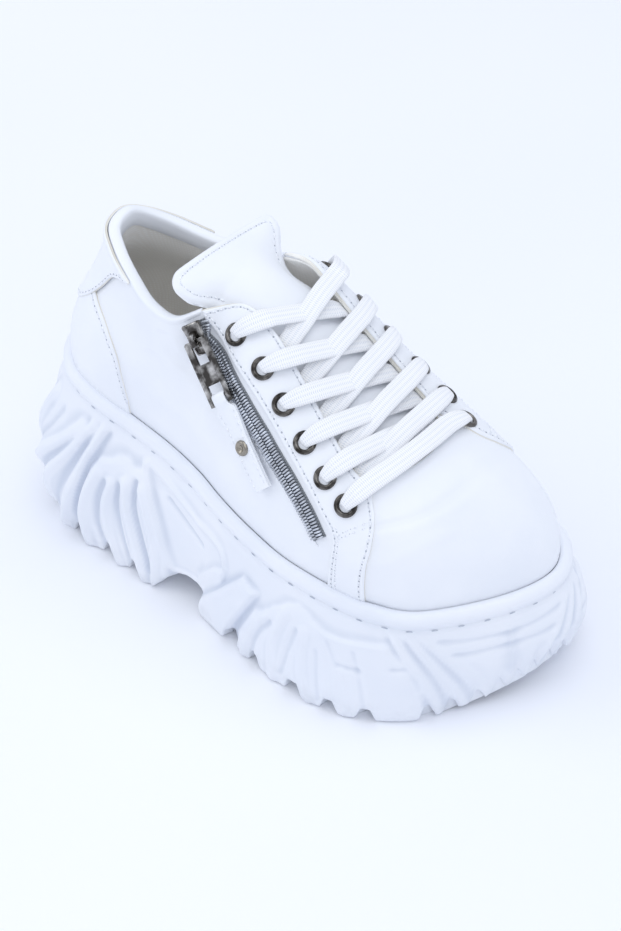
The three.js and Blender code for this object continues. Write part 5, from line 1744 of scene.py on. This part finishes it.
def build_rivet():
    start = mm(bpy.context.scene.sneaker_sizes.plate_length) - PIN_FROM_END
    middle, ahead, across, out = (row[0] for row in strap_axes(np.array([start + RIVET_AT])))
    head = turned("rivet", [(0.01, 1.55), (0.9, 1.6), (1.3, 1.9), (1.7, 2.35), (2.3, 2.5), (2.9, 2.3),
                            (3.3, 1.8), (3.4, 1.3), (3.3, 1.08), (1.4, 1.05), (1.4, -1.3), (2.4, -1.3),
                            (2.5, -1.6), (2.2, -1.9), (0.01, -1.95)], 32)
    placed(head, basis(ahead, across, out, middle))
    smooth_shade(head, 45)
    return head


# ---------------------------------------------------------------- operators


STUDIO_LIGHTS = [  # name, way from the shoe in metres, diameter, watts
    ("overhead", (0.4, 0.35, 2.3), 2.2, 13),
    ("front", (-1.8, -1.4, 1.7), 2.0, 12),
    ("side", (1.3, -1.2, 2.0), 1.6, 7),
]
CAMERA_AT = (686.7, -581.4, 741.5)
CAMERA_AIM = (129, 3, 66)
CAMERA_LENS = 94
CAMERA_ROLL = -0.047


class SNEAKER_OT_stage(bpy.types.Operator):
    """Floor, soft lights and the camera"""

    bl_idname = "sneaker.stage"
    bl_label = "Stage"

    def execute(self, context):
        scene = context.scene
        clear_selection()
        bpy.ops.mesh.primitive_plane_add(size=12)
        floor = context.object
        floor.name = "studio_floor"
        bpy.ops.object.mode_set(mode="EDIT")
        bpy.ops.mesh.subdivide(number_cuts=3)
        bpy.ops.object.mode_set(mode="OBJECT")
        floor.data.materials.append(finishes()["floor"])
        world = bpy.data.worlds.new("studio")
        world.use_nodes = True
        background = world.node_tree.nodes["Background"]
        background.inputs["Color"].default_value = linear("edf3ff")
        background.inputs["Strength"].default_value = 0.8
        scene.world = world
        low, high = (np.array(c) for c in CAD_BOX)
        middle = (low + high) / 2
        for name, way, size, power in STUDIO_LIGHTS:
            light = bpy.data.lights.new(name, "AREA")
            light.energy, light.size, light.shape = power, size, "DISK"
            light.color = (0.96, 0.98, 1.0)
            obj = bpy.data.objects.new(name, light)
            obj.location = Vector(middle) + Vector(way)
            obj.rotation_euler = (-Vector(way)).to_track_quat("-Z", "Y").to_euler()
            scene.collection.objects.link(obj)
        camera = bpy.data.cameras.new("camera")
        camera.lens, camera.sensor_width, camera.sensor_fit = CAMERA_LENS, 36, "VERTICAL"
        camera.sensor_height = 36
        camera.clip_end = 30
        obj = bpy.data.objects.new("camera", camera)
        place = Vector(to_metres(CAMERA_AT))
        aim = Vector(to_metres(CAMERA_AIM))
        turn = (aim - place).to_track_quat("-Z", "Y").to_matrix().to_4x4()
        obj.matrix_world = Matrix.Translation(place) @ turn @ Matrix.Rotation(CAMERA_ROLL, 4, "Z")
        scene.collection.objects.link(obj)
        scene.camera = obj
        scene.view_settings.view_transform = "Standard"
        return {"FINISHED"}


class SNEAKER_OT_sole(bpy.types.Operator):
    """Moulded unit sole with its lugs, ridges and rolled rim"""

    bl_idname = "sneaker.sole"
    bl_label = "Sole"

    def execute(self, context):
        finish_piece(build_sole(), finishes()["sole"], replaces=["sole"])
        return {"FINISHED"}


class SNEAKER_OT_upper(bpy.types.Operator):
    """Leather shell, its knit lining and the folded band around the collar"""

    bl_idname = "sneaker.upper"
    bl_label = "Upper"

    def execute(self, context):
        f = finishes()
        finish_piece(build_upper(), f["leather"], replaces=["upper"], second=f["edge"])
        lining = finish_piece(build_lining(), f["lining"])
        finish_piece(build_binding(), f["leather"])
        return {"FINISHED"}


class SNEAKER_OT_panels(bpy.types.Operator):
    """Leather overlays: both facings with their strips, the heel counter and the heel tab"""

    bl_idname = "sneaker.panels"
    bl_label = "Panels"

    def execute(self, context):
        thick = mm(context.scene.sneaker_sizes.panel_thick)
        leather = finishes()["leather"]
        for name, rows, lift in (("facing_lateral", FACING_LATERAL, 0), ("facing_medial", FACING_MEDIAL, 0),
                                 ("heel_counter", COUNTER, 0), ("heel_tab", HEEL_TAB, 1.1)):
            finish_piece(panel(name, rows, thick, lift), leather, second=finishes()["edge"])
        return {"FINISHED"}


class SNEAKER_OT_tongue(bpy.types.Operator):
    """Padded tongue and the sock over the insole"""

    bl_idname = "sneaker.tongue"
    bl_label = "Tongue and insole"

    def execute(self, context):
        f = finishes()
        tongue = finish_piece(build_tongue(), f["tongue"], replaces=["tongue"])
        finish_piece(build_insole(), f["lining"], replaces=["insole"])
        return {"FINISHED"}


class SNEAKER_OT_eyelets(bpy.types.Operator):
    """Twelve rolled eyelets"""

    bl_idname = "sneaker.eyelets"
    bl_label = "Eyelets"

    def execute(self, context):
        for obj, node in build_eyelets():
            finish_piece(obj, finishes()["gunmetal"], replaces=[node])
        return {"FINISHED"}


class SNEAKER_OT_lace(bpy.types.Operator):
    """One flat lace through all the eyelets"""

    bl_idname = "sneaker.lace"
    bl_label = "Lace"

    def execute(self, context):
        c, sizes = context.scene.sneaker_colours, context.scene.sneaker_sizes
        obj, length = build_lace()
        woven = woven_ribbon("finish lace", c.lace, c.lace_shade, length, 2 * mm(sizes.lace_width) + 3)
        finish_piece(obj, woven,
                     replaces=[f"lace_crossing_{k}" for k in range(1, 6)] + ["lace_bar"])
        return {"FINISHED"}


class SNEAKER_OT_zip(bpy.types.Operator):
    """Zip tape, teeth, slider, and the pull with its strap and rivet"""

    bl_idname = "sneaker.zip"
    bl_label = "Zip"

    def execute(self, context):
        f = finishes()
        c, sizes = context.scene.sneaker_colours, context.scene.sneaker_sizes
        ts, here, _ = zip_path(90)
        length = np.linalg.norm(np.diff(here, axis=0), axis=1).sum()
        width = mm(sizes.tape_width)
        tape = band_on_skin("zip_tape", ts, 0.0, width, -0.4, 0.6)
        # dark tape: partly the tape's colour, partly painted shadow along the teeth
        woven = woven_ribbon("finish tape", c.tape, c.tape_shade, length, 2 * width, 0.9, 1.0)
        finish_piece(tape, woven)
        finish_piece(build_zip_teeth(), f["zip"], replaces=["zip_chain"])
        finish_piece(build_slider(), f["nickel"], replaces=["zip_slider"])
        finish_piece(build_plate(), f["nickel"], "pull", ["zip_pull"])
        strap, seams = build_strap()
        finish_piece(strap, f["leather"], "pull", ["pull_strap"])
        stitches = copies("strap_stitches", stitch_master(1.9), seams)
        finish_piece(stitches, f["thread"], "pull")
        finish_piece(build_rivet(), f["rivet"], "pull", ["pull_rivet"])
        return {"FINISHED"}


ZIP_SEAM = [(t, s - 0.075) for t, s in ZIP_LINE[1:]]
STRIP_SEAM_LATERAL = [(11.99, 0.46), (12.25, 0.54), (12.5, 0.6), (12.84, 0.67)]
STRIP_SEAM_MEDIAL = [(18.5, 0.46), (18.0, 0.54), (17.6, 0.6), (17.15, 0.67)]


class SNEAKER_OT_seams(bpy.types.Operator):
    """Rows of thread stitches, with dark discs of painted shadow in their needle holes and in the slots under
    the sole's rim
    """

    bl_idname = "sneaker.seams"
    bl_label = "Seams"

    def execute(self, context):
        sizes = context.scene.sneaker_sizes
        pitch, inset, thick = mm(sizes.stitch_pitch), mm(sizes.stitch_inset), mm(sizes.panel_thick)
        on_panel = thick - 0.08
        lines = [(inset_rail(rows, side, inset), on_panel + lift)
                 for rows, lift, sides in ((FACING_LATERAL, 0, ("inner", "outer")),
                                           (FACING_MEDIAL, 0, ("inner", "outer")),
                                           (COUNTER, 0, ("outer",)), (HEEL_TAB, 1.1, ("inner",)))
                 for side in sides]
        for seam in (STRIP_SEAM_LATERAL, STRIP_SEAM_MEDIAL):
            lines += [(seam, on_panel), ([(t, s - 0.04) for t, s in seam], on_panel)]
        for rows in (FACING_LATERAL, FACING_MEDIAL):
            lines.append((inset_rail(rows[-9:], "outer", 2 * inset), on_panel))
        lines += [(ZIP_SEAM, 0.15)]
        stitches, holes = [], []
        for path, lift in lines:
            made, pierced = seam_matrices(path, pitch, lift)
            stitches += made
            holes += pierced
        slot = hole_shadow_master()
        slot.data.transform(Matrix.Diagonal((SLOT_LENGTH / 0.9, 1.1, 1, 1)))
        finish_piece(copies("rim_slots", slot, rim_slots()), finishes()["slot"])
        made, pierced = tongue_seam(pitch)
        finish_piece(copies("thread_stitches", stitch_master(0.72 * pitch), stitches + made),
                     finishes()["thread"])
        finish_piece(copies("needle_holes", hole_shadow_master(), holes + pierced), finishes()["hole"])
        return {"FINISHED"}


OPERATORS = [
    SNEAKER_OT_stage, SNEAKER_OT_sole, SNEAKER_OT_upper, SNEAKER_OT_panels, SNEAKER_OT_tongue,
    SNEAKER_OT_eyelets, SNEAKER_OT_lace, SNEAKER_OT_zip, SNEAKER_OT_seams,
]


class SNEAKER_PT_panel(bpy.types.Panel):
    bl_idname = "SNEAKER_PT_panel"
    bl_label = "Sneaker"
    bl_space_type = "VIEW_3D"
    bl_region_type = "UI"
    bl_category = "Sneaker"

    def draw(self, context):
        for operator in OPERATORS:
            self.layout.operator(operator.bl_idname)
        for group in (context.scene.sneaker_sizes, context.scene.sneaker_colours):
            for key in group.__annotations__:
                self.layout.prop(group, key)


CLASSES = [SneakerSizes, SneakerColours, *OPERATORS, SNEAKER_PT_panel]


def register():
    for each in CLASSES:
        bpy.utils.register_class(each)
    bpy.types.Scene.sneaker_sizes = bpy.props.PointerProperty(type=SneakerSizes)
    bpy.types.Scene.sneaker_colours = bpy.props.PointerProperty(type=SneakerColours)


def unregister():
    del bpy.types.Scene.sneaker_colours
    del bpy.types.Scene.sneaker_sizes
    for each in reversed(CLASSES):
        bpy.utils.unregister_class(each)


def main():
    register()
    for operator in OPERATORS:
        group, name = operator.bl_idname.split(".")
        getattr(getattr(bpy.ops, group), name)()
    clear_selection()


if __name__ == "__main__":
    main()
